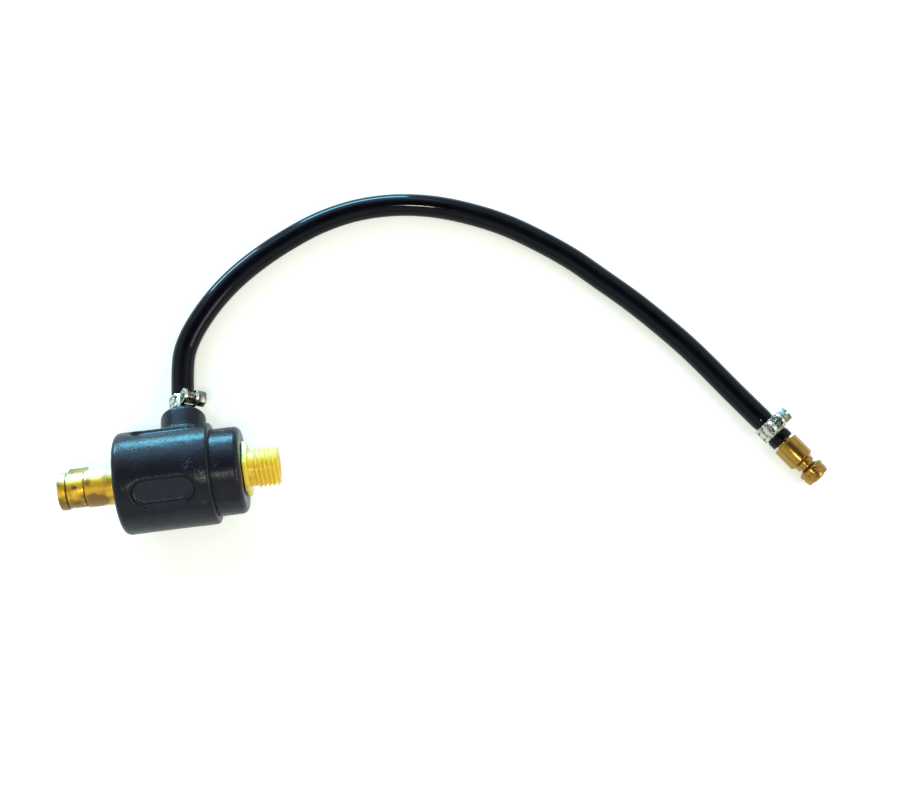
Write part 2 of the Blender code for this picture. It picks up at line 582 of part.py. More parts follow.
def make_torch_stud(axis):
    groove_middle = BLOCK_END - STUD_SEAL_FROM_BLOCK_END
    groove_half = STUD_SEAL_SECTION / 2 + SEAT
    groove_floor = STUD_HOLE_RADIUS - 2 * SEAT - STUD_SEAL_SECTION
    neck = STUD_NECK_DIAMETER / 2
    hex_middle = (HEX_START + HEX_END) / 2
    stud = turned("torch_stud", [
        (0.0, STUD_END), (STUD_ROOT_RADIUS - STUD_END_CHAMFER / 2, STUD_END),
        (STUD_ROOT_RADIUS, STUD_END - STUD_END_CHAMFER / 2), (STUD_ROOT_RADIUS, THREAD_START),
        (neck, THREAD_START - PIN_EDGE_BEVEL), (neck, hex_middle), (STUD_SPIGOT_RADIUS, hex_middle),
        (STUD_SPIGOT_RADIUS, groove_middle + groove_half), (groove_floor, groove_middle + groove_half),
        (groove_floor, groove_middle - groove_half), (STUD_SPIGOT_RADIUS, groove_middle - groove_half),
        (STUD_SPIGOT_RADIUS, STUD_START), (0.0, STUD_START)], BRASS_SEGMENTS, parent=axis)
    flange = hexagon("stud_hex", STUD_HEX_ACROSS_FLATS, HEX_START, HEX_END, STUD_HEX_ANGLE, axis)
    ridge = thread_ridge("stud_thread", STUD_ROOT_RADIUS, STUD_CREST_RADIUS, STUD_THREAD_PITCH,
                         THREAD_START + STUD_THREAD_LEAD, STUD_END - STUD_THREAD_STOP,
                         BRASS_SEGMENTS, parent=axis)
    sink = STUD_BORE_COUNTERSINK
    way = turned("gas_way", [
        (0.0, STUD_END + CUT), (STUD_BORE_RADIUS + sink + CUT, STUD_END + CUT),
        (STUD_BORE_RADIUS, STUD_END - sink), (STUD_BORE_RADIUS, STUD_START - CUT),
        (0.0, STUD_START - CUT)], BRASS_SEGMENTS, collection=CUTTERS, parent=axis)
    boolean(stud, flange, "UNION")
    boolean(stud, ridge, "UNION")
    boolean(stud, way)
    return finish(stud, BRASS, 0.25, 1.0, 30)


def make_stud_washer(axis):
    washer = turned("stud_washer", tube_profile(STUD_HOLE_RADIUS, STUD_HEX_ACROSS_FLATS / 2, WASHER_START,
                                                WASHER_START + STUD_WASHER_THICKNESS),
                    BRASS_SEGMENTS, closed=True, parent=axis)
    return finish(washer, (0.05, 0.035, 0.03), 0.7, 0.0)


def make_stud_o_ring(axis):
    middle = BLOCK_END - STUD_SEAL_FROM_BLOCK_END
    section = STUD_SEAL_SECTION / 2
    centre = STUD_HOLE_RADIUS - SEAT - section
    angles = [-2 * pi * i / RING_SECTION_SEGMENTS for i in range(RING_SECTION_SEGMENTS)]
    ring = turned("stud_o_ring", [(centre + section * cos(a), middle + section * sin(a)) for a in angles],
                  BRASS_SEGMENTS, closed=True, parent=axis)
    return finish(ring, RUBBER, 0.5, 0.0, 60)


def make_insulating_liner(axis):
    liner = turned("insulating_liner", tube_profile(LINER_BORE_RADIUS, LINER_RADIUS, LINER_START, SLEEVE_END),
                   BODY_SEGMENTS, closed=True, parent=axis)
    hole = cylinder("liner_gas_hole", BOSS_BORE_RADIUS, 0.0, LINER_RADIUS + CUT, SMALL_SEGMENTS,
                    radial(BOSS_X, BOSS_ANGLE))
    boolean(liner, hole)
    return finish(liner, (0.30, 0.10, 0.04), 0.5, 0.0)


def make_end_collar(axis):
    inner_end = COLLAR_END - COLLAR_END_WALL
    profile = [
        (STUD_HOLE_RADIUS, COLLAR_END), *fillet(COLLAR_RADIUS, COLLAR_END, COLLAR_REAR_ROUNDING, 1),
        *fillet(COLLAR_RADIUS, COLLAR_START, COLLAR_FRONT_ROUNDING, -1), (LINER_BORE_RADIUS, COLLAR_START),
        (LINER_BORE_RADIUS, inner_end), (STUD_HOLE_RADIUS, inner_end)]
    collar = turned("end_collar", profile, BODY_SEGMENTS, closed=True, parent=axis)
    return finish(collar, RUBBER, 0.42, 0.0)


def recess_cutter(number):
    """A round-ended block that leaves a flat, soft-edged recess in the sleeve."""
    height = 2 * RECESS_DEPTH
    angle = BOSS_ANGLE + 2 * pi * (number + 0.5) / RECESS_COUNT
    middle = radial(SLEEVE_START + RECESS_OFFSET, angle) @ Matrix.Translation(
        (0, 0, SLEEVE_RADIUS - RECESS_DEPTH + height / 2))
    mesh = bpy.data.meshes.new("recess")
    shape = bmesh.new()
    bmesh.ops.create_cube(shape, size=1.0, matrix=Matrix.Diagonal((RECESS_LENGTH, RECESS_WIDTH, height, 1)))
    upright = [edge for edge in shape.edges if abs(edge.verts[0].co.z - edge.verts[1].co.z) > height / 2]
    bmesh.ops.bevel(shape, geom=upright, offset=RECESS_WIDTH / 2 * NEARLY, segments=8, affect="EDGES",
                    profile=0.5)
    floor = [edge for edge in shape.edges if all(v.co.z < -height / 2 * NEARLY for v in edge.verts)]
    bmesh.ops.bevel(shape, geom=floor, offset=RECESS_FLOOR_ROUNDING, segments=2, affect="EDGES", profile=0.5)
    bmesh.ops.recalc_face_normals(shape, faces=shape.faces)
    shape.to_mesh(mesh)
    shape.free()
    return place(f"recess_{number + 1}", mesh, CUTTERS, middle)


def make_outer_sleeve(axis):
    pin_hole = PIN_RADIUS + FIT
    inner_start = SLEEVE_START + SLEEVE_END_WALL
    sleeve = turned("outer_sleeve", [
        (SLEEVE_BORE_RADIUS, SLEEVE_END), *fillet(SLEEVE_RADIUS, SLEEVE_END, SLEEVE_REAR_ROUNDING, 1),
        *fillet(SLEEVE_RADIUS, SLEEVE_START, SLEEVE_FRONT_ROUNDING, -1), (pin_hole, SLEEVE_START),
        (pin_hole, inner_start), (SLEEVE_BORE_RADIUS, inner_start)], BODY_SEGMENTS, closed=True, parent=axis)
    foot = SLEEVE_BORE_RADIUS + BOSS_ROOT
    boss = turned("gas_boss", [(0.0, BOSS_END), *fillet(BOSS_RADIUS, BOSS_END, BOSS_ROUNDING, 1),
                               (BOSS_RADIUS, foot), (0.0, foot)], BRASS_SEGMENTS, collection=CUTTERS,
                  matrix=radial(BOSS_X, BOSS_ANGLE))
    boolean(sleeve, boss, "UNION")
    for number in range(RECESS_COUNT):
        boolean(sleeve, recess_cutter(number))
    hole = cylinder("boss_bore", BOSS_BORE_RADIUS, SLEEVE_BORE_RADIUS / 2, BOSS_END + CUT, BRASS_SEGMENTS,
                    radial(BOSS_X, BOSS_ANGLE))
    boolean(sleeve, hole)
    return finish(sleeve, RUBBER, 0.45, 0.0)


# ---------------------------------------------------------------- gas side
def make_gas_nipple(axis):
    thread = NIPPLE_THREAD_DIAMETER / 2
    bore = BARB_BORE_DIAMETER / 2
    low = NIPPLE_WASHER_START - NIPPLE_THREAD_LENGTH
    middle = (NIPPLE_HEX_START + NIPPLE_HEX_END) / 2
    profile = barbs(middle, HOSE_START + BARB_REACH)
    profile += [(thread, middle), (thread, low + PIN_EDGE_BEVEL), (thread - PIN_EDGE_BEVEL, low), (bore, low)]
    nipple = turned("gas_nipple", profile, SMALL_SEGMENTS, closed=True, parent=axis)
    foot = hexagon("nipple_hex", NIPPLE_HEX_ACROSS_FLATS, NIPPLE_HEX_START, NIPPLE_HEX_END, 0.0, axis)
    way = cylinder("nipple_way", bore, NIPPLE_HEX_START - FIT, NIPPLE_HEX_END + FIT, SMALL_SEGMENTS,
                   Matrix.Identity(4), axis)
    boolean(foot, way)
    boolean(nipple, foot, "UNION")
    return finish(nipple, BRASS, 0.35, 1.0)


def make_nipple_washer(axis):
    inner = NIPPLE_THREAD_DIAMETER / 2 + SEAT
    washer = turned("nipple_washer", tube_profile(inner, inner + NIPPLE_WASHER_WIDTH, NIPPLE_WASHER_START,
                                                  NIPPLE_WASHER_START + NIPPLE_WASHER_THICKNESS),
                    SMALL_SEGMENTS, closed=True, parent=axis)
    return finish(washer, (0.45, 0.20, 0.10), 0.5, 0.0)


def hose_route():
    """Control points of the hose's middle line, from inside the boss to its far end."""
    start = Vector((BOSS_X, 0, 0)) + BOSS_DIRECTION * HOSE_START
    clamped = NEAR_CLIP + CLIP_WIDTH / 2 - HOSE_START
    free = start + BOSS_DIRECTION * (clamped + FIT)
    points = [start, start + BOSS_DIRECTION * (clamped / 2), free]
    points += [Vector((x, y, HOSE_HEIGHT)) for x, y in HOSE_ROUTE]
    for back, share in HOSE_RISE:
        point = HOSE_END_POINT - HOSE_END_DIRECTION * back
        point.z = HOSE_HEIGHT + (HOSE_END_HEIGHT - HOSE_HEIGHT) * share
        points.append(point)
    points.append(HOSE_END_POINT.copy())
    return points


def smooth_curve(points, samples=12):
    """Points of a centripetal Catmull-Rom curve through the given points."""
    ends = [points[0] * 2 - points[1]] + points + [points[-1] * 2 - points[-2]]
    fine = []
    for p0, p1, p2, p3 in zip(ends, ends[1:], ends[2:], ends[3:]):
        t0 = 0.0
        t1 = t0 + sqrt((p1 - p0).length)
        t2 = t1 + sqrt((p2 - p1).length)
        t3 = t2 + sqrt((p3 - p2).length)
        for step in range(samples):
            t = t1 + (t2 - t1) * step / samples
            a1 = p0 * ((t1 - t) / (t1 - t0)) + p1 * ((t - t0) / (t1 - t0))
            a2 = p1 * ((t2 - t) / (t2 - t1)) + p2 * ((t - t1) / (t2 - t1))
            a3 = p2 * ((t3 - t) / (t3 - t2)) + p3 * ((t - t2) / (t3 - t2))
            b1 = a1 * ((t2 - t) / (t2 - t0)) + a2 * ((t - t0) / (t2 - t0))
            b2 = a2 * ((t3 - t) / (t3 - t1)) + a3 * ((t - t1) / (t3 - t1))
            fine.append(b1 * ((t2 - t) / (t2 - t1)) + b2 * ((t - t1) / (t2 - t1)))
    fine.append(points[-1])
    return fine


def read_at(fine, distances):
    """Points of the fine curve at the given distances along it."""
    found = []
    travelled = 0.0
    wanted = list(distances)
    for near, far in zip(fine, fine[1:]):
        step = (far - near).length
        while wanted and wanted[0] <= travelled + step:
            found.append(near.lerp(far, (wanted.pop(0) - travelled) / step))
        travelled += step
    return found + [fine[-1]] * len(wanted)


def make_gas_hose():
    fine = smooth_curve(hose_route())
    total = sum((b - a).length for a, b in zip(fine, fine[1:]))
    near_clip = NEAR_CLIP - CLIP_WIDTH / 2 - HOSE_START
    far_clip = total - HOSE_TAIL - CLIP_WIDTH
    stations = [(0.0, HOSE_RADIUS)]
    for start in (near_clip, far_clip):
        end = start + CLIP_WIDTH
        beyond = HOSE_RADIUS if start == near_clip else HOSE_RADIUS + HOSE_FLARE
        stations += [(start - HOSE_TAPER, HOSE_RADIUS), (start, HOSE_CLAMPED_RADIUS),
                     (end, HOSE_CLAMPED_RADIUS), (end + HOSE_TAPER, beyond)]
    stations.append((total, HOSE_RADIUS + HOSE_FLARE))
    low = stations[4][0]
    high = stations[5][0]
    steps = int((high - low) / HOSE_STEP)
    stations[5:5] = [(low + (high - low) * i / steps, HOSE_RADIUS) for i in range(1, steps)]
    curve = bpy.data.curves.new("gas_hose", "CURVE")
    curve.dimensions = "3D"
    curve.bevel_depth = HOSE_RADIUS
    curve.bevel_resolution = 4
    curve.use_fill_caps = True
    spline = curve.splines.new("POLY")
    spline.points.add(len(stations) - 1)
    places = read_at(fine, [distance for distance, _ in stations])
    for point, co, (_, radius) in zip(spline.points, places, stations):
        point.co = (*co, 1.0)
        point.radius = radius / HOSE_RADIUS
    hose = curve_to_mesh_object("gas_hose", curve, Matrix.Identity(4))
    near_pocket = cylinder("near_pocket", HOSE_POCKET_RADIUS, HOSE_START - FIT,
                           HOSE_START + BARB_REACH + FIT, SMALL_SEGMENTS, radial(BOSS_X, BOSS_ANGLE))
    depth = HOSE_TAIL + CLIP_WIDTH + FIT
    far_pocket = cylinder("far_pocket", HOSE_POCKET_RADIUS, -depth, FIT, SMALL_SEGMENTS,
                          GAS_END_FRAME)
    boolean(hose, near_pocket)
    boolean(hose, far_pocket)
    print(f"gas_hose length {total * 1000:.1f} mm")
    return finish(hose, RUBBER, 0.3, 0.0, 60)


def make_gas_plug(axis):
    shoulder = PLUG_GAP
    body = PLUG_BODY_DIAMETER / 2
    body_end = shoulder + PLUG_BODY_LENGTH
    neck = PLUG_NECK_DIAMETER / 2
    neck_start = body_end + PLUG_CONE_LENGTH
    neck_end = neck_start + PLUG_NECK_LENGTH
    groove_end = neck_end + PLUG_GROOVE_LENGTH
    head_start = groove_end + PLUG_FLARE_LENGTH
    head_end = head_start + PLUG_HEAD_LENGTH
    head = PLUG_HEAD_DIAMETER / 2
    groove = PLUG_GROOVE_DIAMETER / 2
    lip = PLUG_LIP_DIAMETER / 2
    bore = BARB_BORE_DIAMETER / 2
    tail_end = -(HOSE_TAIL + CLIP_WIDTH)
    tail = [(radius, -height) for radius, height in reversed(barbs(SEAT, -tail_end))]
    plug = turned("gas_plug", [
        (bore, head_end + PLUG_LIP_LENGTH), (lip, head_end + PLUG_LIP_LENGTH), (lip, head_end),
        (head - PLUG_HEAD_TAPER, head_end), (head, head_start + PLUG_HEAD_STRAIGHT), (head, head_start),
        (groove, groove_end), (groove, neck_end), (neck, neck_end), (neck, neck_start), (body, body_end),
        (body, shoulder + PLUG_SHOULDER_BEVEL), (body - PLUG_SHOULDER_BEVEL, shoulder),
        (PLUG_TAIL_DIAMETER / 2, shoulder), (PLUG_TAIL_DIAMETER / 2, SEAT), *tail],
        BRASS_SEGMENTS, closed=True, parent=axis)
    return finish(plug, BRONZE, 0.3, 1.0)


# ---------------------------------------------------------------- hose clips
def band_outline():
    """The band's edge view: once round the hose, then over its own start as a long free tail."""
    turn = CLIP_INNER_START - (CLIP_TAIL_END - 2 * pi)
    count = int(round(turn / BAND_STEP))
    inner = []
    outer = []
    for i in range(count + 1):
        angle = CLIP_INNER_START - turn * i / count
        begin = CLIP_TAIL_START - 2 * pi
        end = CLIP_TAIL_LIFTED - 2 * pi
        share = min(1.0, max(0.0, (begin - angle) / (begin - end)))
        radius = BAND_INNER_RADIUS + (TAIL_INNER_RADIUS - BAND_INNER_RADIUS) * share
        inner.append((radius * cos(angle), radius * sin(angle)))
        thick = radius + CLIP_BAND_THICKNESS
        outer.append((thick * cos(angle), thick * sin(angle)))
    return outer + inner[::-1]


def housing_outline():
    """Cross-section of a housing's posts: straight sides and a round back over the screw."""
    half = CLIP_HOLE_RADIUS + CLIP_HOUSING_WALL
    angles = [pi * i / ARCH_STEPS for i in range(ARCH_STEPS + 1)]
    arc = [(half * cos(a), CLIP_SCREW_HEIGHT + half * sin(a)) for a in angles]
    foot = BAND_OUTER_RADIUS - CLIP_HOUSING_FOOT
    return [(half, foot)] + arc + [(-half, foot)]


def cutting_box(name, size, matrix, parent):
    box = place(name, bpy.data.meshes.new(name), CUTTERS, matrix, parent)
    shape = bmesh.new()
    bmesh.ops.create_cube(shape, size=1.0, matrix=Matrix.Diagonal((*size, 1)))
    shape.to_mesh(box.data)
    shape.free()
    return box


def make_clip(name, axis):
    band = outline(name + "_band", band_outline(), CLIP_WIDTH, Matrix.Identity(4), axis)
    finish(band, STEEL, 0.28, 1.0)

    across = frame((0, 0, 0), (0, 0, -1), (0, 1, 0))
    housing = outline(name + "_housing", housing_outline(), CLIP_HOUSING_LENGTH, across, axis)
    along_screw = Matrix.Translation((0, CLIP_SCREW_HEIGHT, 0)) @ Matrix.Rotation(pi / 2, 4, "Y")
    far = CLIP_HOUSING_LENGTH
    hole = cylinder(name + "_screw_hole", CLIP_HOLE_RADIUS, -far, far, SMALL_SEGMENTS, along_screw, axis)
    saddle = cylinder(name + "_saddle", BAND_OUTER_RADIUS + SEAT, -CLIP_WIDTH, CLIP_WIDTH, BODY_SEGMENTS,
                      Matrix.Identity(4), axis)
    rail_top = BAND_OUTER_RADIUS + CLIP_RAIL_HEIGHT
    above = 2 * CLIP_SCREW_HEIGHT
    gap = cutting_box(name + "_gap", (CLIP_HOUSING_LENGTH - 2 * CLIP_POST_THICKNESS, above - rail_top,
                                      2 * CLIP_WIDTH),
                      Matrix.Translation((0, (rail_top + above) / 2, 0)), axis)
    boolean(housing, hole)
    boolean(housing, saddle)
    boolean(housing, gap)
    finish(housing, STEEL, 0.38, 1.0)

    root = CLIP_SCREW_RADIUS - CLIP_SCREW_ROOT_DEPTH
    low = -CLIP_HOUSING_LENGTH / 2 - CLIP_SCREW_TIP
    top = CLIP_HEAD_START + CLIP_HEAD_THICKNESS
    neck_end = CLIP_HEAD_START + CLIP_HEAD_THICKNESS / 2
    screw = turned(name + "_screw", [(0.0, neck_end), (root, neck_end), (root, low), (0.0, low)],
                   SMALL_SEGMENTS, matrix=along_screw, parent=axis)
    ridge = thread_ridge(name + "_thread", root, CLIP_SCREW_RADIUS, CLIP_SCREW_PITCH,
                         low + CLIP_SCREW_PITCH / 2, CLIP_HEAD_START - CLIP_SCREW_PITCH / 2,
                         CLIP_THREAD_STEPS, along_screw, axis)
    head = hexagon(name + "_head", CLIP_HEAD_ACROSS_FLATS, CLIP_HEAD_START, top, 0.0, axis,
                   matrix=along_screw)
    slot = cutting_box(name + "_slot", (CLIP_SLOT_WIDTH, CLIP_HEAD_ACROSS_FLATS * 2, CLIP_SLOT_DEPTH * 2),
                       along_screw @ Matrix.Translation((0, 0, top)), axis)
    boolean(screw, ridge, "UNION")
    boolean(screw, head, "UNION")
    boolean(screw, slot)
    finish(screw, STEEL, 0.25, 1.0, 30)


def main():
    plug_axis, boss_axis, gas_end, near_clip, far_clip = make_axes()
    make_bayonet_pin(plug_axis)
    make_contact_block(plug_axis)
    make_lock_screw("pin_lock_screw", PIN_LOCK_X, PIN_BORE_RADIUS)
    make_lock_screw("stud_lock_screw", STUD_LOCK_X, STUD_HOLE_RADIUS)
    make_torch_stud(plug_axis)
    make_stud_washer(plug_axis)
    make_stud_o_ring(plug_axis)
    make_insulating_liner(plug_axis)
    make_end_collar(plug_axis)
    make_outer_sleeve(plug_axis)
    make_gas_nipple(boss_axis)
    make_nipple_washer(boss_axis)
    make_gas_hose()
    make_gas_plug(gas_end)
    make_clip("near_clip", near_clip)
    make_clip("far_clip", far_clip)
    bpy.context.view_layer.update()


main()
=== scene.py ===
"""Looks of a TIG torch adaptor: rubber body, brass plug ends, worm-drive clips and its gas hose.

Lengths are in metres. The frame's origin is the bayonet pin's tip, +X runs along the plug axis
to the torch stud and +Z is up.
"""

import json
from math import acos, atan2, cos, pi, radians, sin, sqrt, tan

import bmesh
import bpy
from bpy.props import FloatProperty, FloatVectorProperty, IntProperty, PointerProperty
from mathutils import Euler, Matrix, Vector


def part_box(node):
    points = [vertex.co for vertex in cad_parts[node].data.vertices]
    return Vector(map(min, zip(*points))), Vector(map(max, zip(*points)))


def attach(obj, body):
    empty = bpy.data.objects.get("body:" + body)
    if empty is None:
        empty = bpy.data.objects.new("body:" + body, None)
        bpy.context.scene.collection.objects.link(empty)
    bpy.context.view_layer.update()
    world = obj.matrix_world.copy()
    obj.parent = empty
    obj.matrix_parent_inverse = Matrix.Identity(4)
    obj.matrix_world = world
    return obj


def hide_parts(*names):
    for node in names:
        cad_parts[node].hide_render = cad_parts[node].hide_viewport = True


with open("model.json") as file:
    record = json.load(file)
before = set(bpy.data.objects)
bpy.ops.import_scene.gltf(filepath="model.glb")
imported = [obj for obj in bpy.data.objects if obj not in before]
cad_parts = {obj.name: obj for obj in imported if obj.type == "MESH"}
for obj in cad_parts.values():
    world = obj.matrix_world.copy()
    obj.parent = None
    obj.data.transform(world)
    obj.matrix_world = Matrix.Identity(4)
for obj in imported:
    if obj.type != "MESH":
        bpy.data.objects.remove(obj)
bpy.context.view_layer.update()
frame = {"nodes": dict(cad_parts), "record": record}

bl_info = {
    "name": "TIG torch adaptor",
    "version": (1, 0, 0),
    "blender": (4, 5, 0),
    "location": "View3D > Sidebar > Adaptor",
    "description": "Builds a TIG torch adaptor with its gas hose, piece by piece",
    "category": "Add Mesh",
}

MM = 0.001


def linear(code):
    """Linear colour of an sRGB hex code such as C8A24A."""
    parts = [int(code[i:i + 2], 16) / 255 for i in (0, 2, 4)]
    return tuple(c / 12.92 if c <= 0.04045 else ((c + 0.055) / 1.055) ** 2.4 for c in parts)


# ---------------------------------------------------------------- places read from the frame
SLEEVE_LOW, SLEEVE_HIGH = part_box("outer_sleeve")
COLLAR_LOW, COLLAR_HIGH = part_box("end_collar")
STUD_LOW, STUD_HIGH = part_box("torch_stud")
WASHER_LOW, WASHER_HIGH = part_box("stud_washer")
BLOCK_LOW, BLOCK_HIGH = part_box("contact_block")
PIN_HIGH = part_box("bayonet_pin")[1]
LINER_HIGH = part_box("insulating_liner")[1]
TABLE = -SLEEVE_HIGH[2]

BOSS_ANGLE = radians(110.5)
BOSS_DIRECTION = Vector((0.0, sin(BOSS_ANGLE), cos(BOSS_ANGLE)))
HOSE_END_HEADING = radians(-54.2)
HOSE_END_DIRECTION = Vector((cos(HOSE_END_HEADING), sin(HOSE_END_HEADING), 0.0))


# ---------------------------------------------------------------- sizes and colours a user would change
def length(label, text, millimetres):
    return FloatProperty(name=label, description=text, default=millimetres * MM, min=0.0, precision=5,
                         subtype="DISTANCE", unit="LENGTH")


def shade(label, text, code):
    return FloatVectorProperty(name=label, description=text, default=linear(code), min=0.0, max=1.0,
                               size=3, subtype="COLOR")


class AdaptorSizes(bpy.types.PropertyGroup):
    """Sizes of the body and its brass ends."""
    boss_offset: length("Boss offset", "Sleeve's end face to the axis of the gas boss", 22.0)
    boss_diameter: length("Boss diameter", "Gas boss on the sleeve", 15.7)
    boss_height: length("Boss height", "Gas boss above the sleeve's surface", 6.9)
    boss_bore: length("Boss bore", "Hole that takes the hose", 8.6)
    recess_length: length("Recess length", "Finger recess along the sleeve", 21.2)
    recess_width: length("Recess width", "Finger recess across", 9.2)
    recess_depth: length("Recess depth", "Finger recess below the sleeve's surface", 2.0)
    recess_offset: length("Recess offset", "Sleeve's end face to the middle of a recess", 16.6)
    pin_diameter: length("Pin diameter", "Bayonet pin", 13.0)
    thread_diameter: length("Thread diameter", "Torch stud's outside thread", 14.0)
    thread_pitch: length("Thread pitch", "Torch stud's thread", 1.5)
    stud_bore: length("Gas way", "Bore through the torch stud", 7.0)
    hex_across_flats: length("Flange across flats", "Hexagonal flange of the torch stud", 17.0)
    recess_count: IntProperty(name="Recesses", description="Finger recesses round the sleeve",
                              default=4, min=0, max=8)


class HoseSizes(bpy.types.PropertyGroup):
    """Sizes of the gas hose, its clips and its plug."""
    hose_diameter: length("Hose diameter", "Outside of the gas hose", 8.0)
    hose_squeeze: length("Squeeze", "Off the hose's radius under a clip", 0.4)
    hose_insertion: length("Insertion", "Length of hose inside the boss", 7.4)
    hose_tail: length("Tail", "Hose beyond the far clip", 3.6)
    clip_offset: length("Clip offset", "Boss end to the middle of the near clip", 4.6)
    clip_width: length("Band width", "Width of a clip's band", 5.4)
    band_thickness: length("Band thickness", "Sheet of a clip's band", 0.45)
    screw_diameter: length("Screw diameter", "Worm screw of a clip", 3.5)
    screw_pitch: length("Screw pitch", "Worm screw of a clip", 1.0)
    plug_diameter: length("Plug diameter", "Largest diameter of the gas plug", 9.5)


class AdaptorColours(bpy.types.PropertyGroup):
    """Colours of the finishes."""
    rubber: shade("Body rubber", "Moulded rubber of the body", "101218")
    # also the colour of painted glints among the scuffs and of the recess floors' painted highlight
    rubber_bloom_and_highlight: shade("Rubber bloom", "Grey film on worn moulded rubber", "5A6874")
    hose: shade("Hose rubber", "Extruded rubber of the gas hose", "030408")
    pin_brass: shade("Pin brass", "Brass of the bayonet pin", "FBC52C")
    tarnish: shade("Tarnish", "Brown oxide on handled brass", "5A3813")
    stud_brass: shade("Stud brass", "Bright brass of the torch stud", "FFE64A")
    # painted shade: the darker ochre between the threads stands in for the shade there
    stud_root: shade("Thread root", "Ochre brass between the threads of the torch stud", "F2CA28")
    screw_steel: shade("Screw steel", "Darker steel of the clip screws", "7C7D70")
    plug_brass: shade("Plug brass", "Darkened brass of the gas plug", "AA8230")
    steel: shade("Clip steel", "Plated steel of the clips", "D0D4C2")


def settings(context):
    """Sizes of the body, sizes of the hose, and colours."""
    scene = context.scene
    return scene.adaptor_sizes, scene.hose_sizes, scene.adaptor_colours


# ---------------------------------------------------------------- nodes
def add_node(tree, kind, links=(), stops=(), **values):
    """Add a node: each link or value goes to the input of that name or number, or in order if a tuple.

    A node as a link gives its first output, and a colour has three numbers.
    """
    new = tree.nodes.new(kind)
    for name, value in values.items():
        setattr(new, name, value)
    for key, value in links.items() if isinstance(links, dict) else enumerate(links):
        socket = new.inputs[key]
        if isinstance(value, bpy.types.Node):
            value = value.outputs[0]
        if isinstance(value, bpy.types.NodeSocket):
            tree.links.new(value, socket)
        else:
            socket.default_value = (*value, 1.0) if socket.type == "RGBA" else value
    if stops:
        ramp = new.color_ramp
        while len(ramp.elements) < len(stops):
            ramp.elements.new(1.0)
        for element, (place, colour) in zip(ramp.elements, stops):
            element.position = place
            element.color = (*colour, 1.0)
    return new


def empty_tree(owner, kind):
    """The emptied node tree of a material or a world, with its new output node."""
    owner.use_nodes = True
    tree = owner.node_tree
    tree.nodes.clear()
    return tree, tree.nodes.new(kind)


def new_surface(name, roughness, metallic, **shader_values):
    """A node material with its tree, its Principled shader and its Object coordinates."""
    material = bpy.data.materials.new(name)
    tree, output = empty_tree(material, "ShaderNodeOutputMaterial")
    links = {"Roughness": roughness, "Metallic": metallic}
    links.update({key.replace("_", " "): value for key, value in shader_values.items()})
    shader = add_node(tree, "ShaderNodeBsdfPrincipled", links)
    tree.links.new(shader.outputs["BSDF"], output.inputs["Surface"])
    where = tree.nodes.new("ShaderNodeTexCoord").outputs["Object"]
    return material, tree, shader, where


def finish_surface(surface, share, under, over, height, strength, depth, worn=()):
    """Join a surface's patterns to its shader, and return its material.

    The share takes the colour from one to the other, height is the pattern of its unevenness, and
    worn is a pattern, its low and high values, and the roughness at each.
    """
    material, tree, shader, where = surface
    tone = add_node(tree, "ShaderNodeMix", {"Factor": share, 6: under, 7: over}, data_type="RGBA")
    tree.links.new(tone.outputs[2], shader.inputs["Base Color"])
    if worn:
        rough = add_node(tree, "ShaderNodeMapRange", worn)
        tree.links.new(rough.outputs[0], shader.inputs["Roughness"])
    bump = add_node(tree, "ShaderNodeBump", {"Strength": strength, "Distance": depth, "Height": height})
    tree.links.new(bump.outputs["Normal"], shader.inputs["Normal"])
    if shader.inputs["Coat Weight"].default_value:
        tree.links.new(bump.outputs["Normal"], shader.inputs["Coat Normal"])
    return material


def per_metre(millimetres):
    """Scale of a pattern whose features are that many millimetres apart."""
    return 1.0 / (millimetres * MM)


def near_point(tree, where, point, reach):
    """1 at a point of the surface, falling to 0 at a distance."""
    gap = add_node(tree, "ShaderNodeVectorMath", (where, tuple(point)), operation="DISTANCE")
    return add_node(tree, "ShaderNodeMapRange", (gap.outputs["Value"], 0.0, reach, 1.0, 0.0))


def from_axis(tree, where):
    """Distance from the plug axis."""
    flat = add_node(tree, "ShaderNodeVectorMath", (where, (0.0, 1.0, 1.0)), operation="MULTIPLY")
    return add_node(tree, "ShaderNodeVectorMath", (flat,), operation="LENGTH").outputs["Value"]


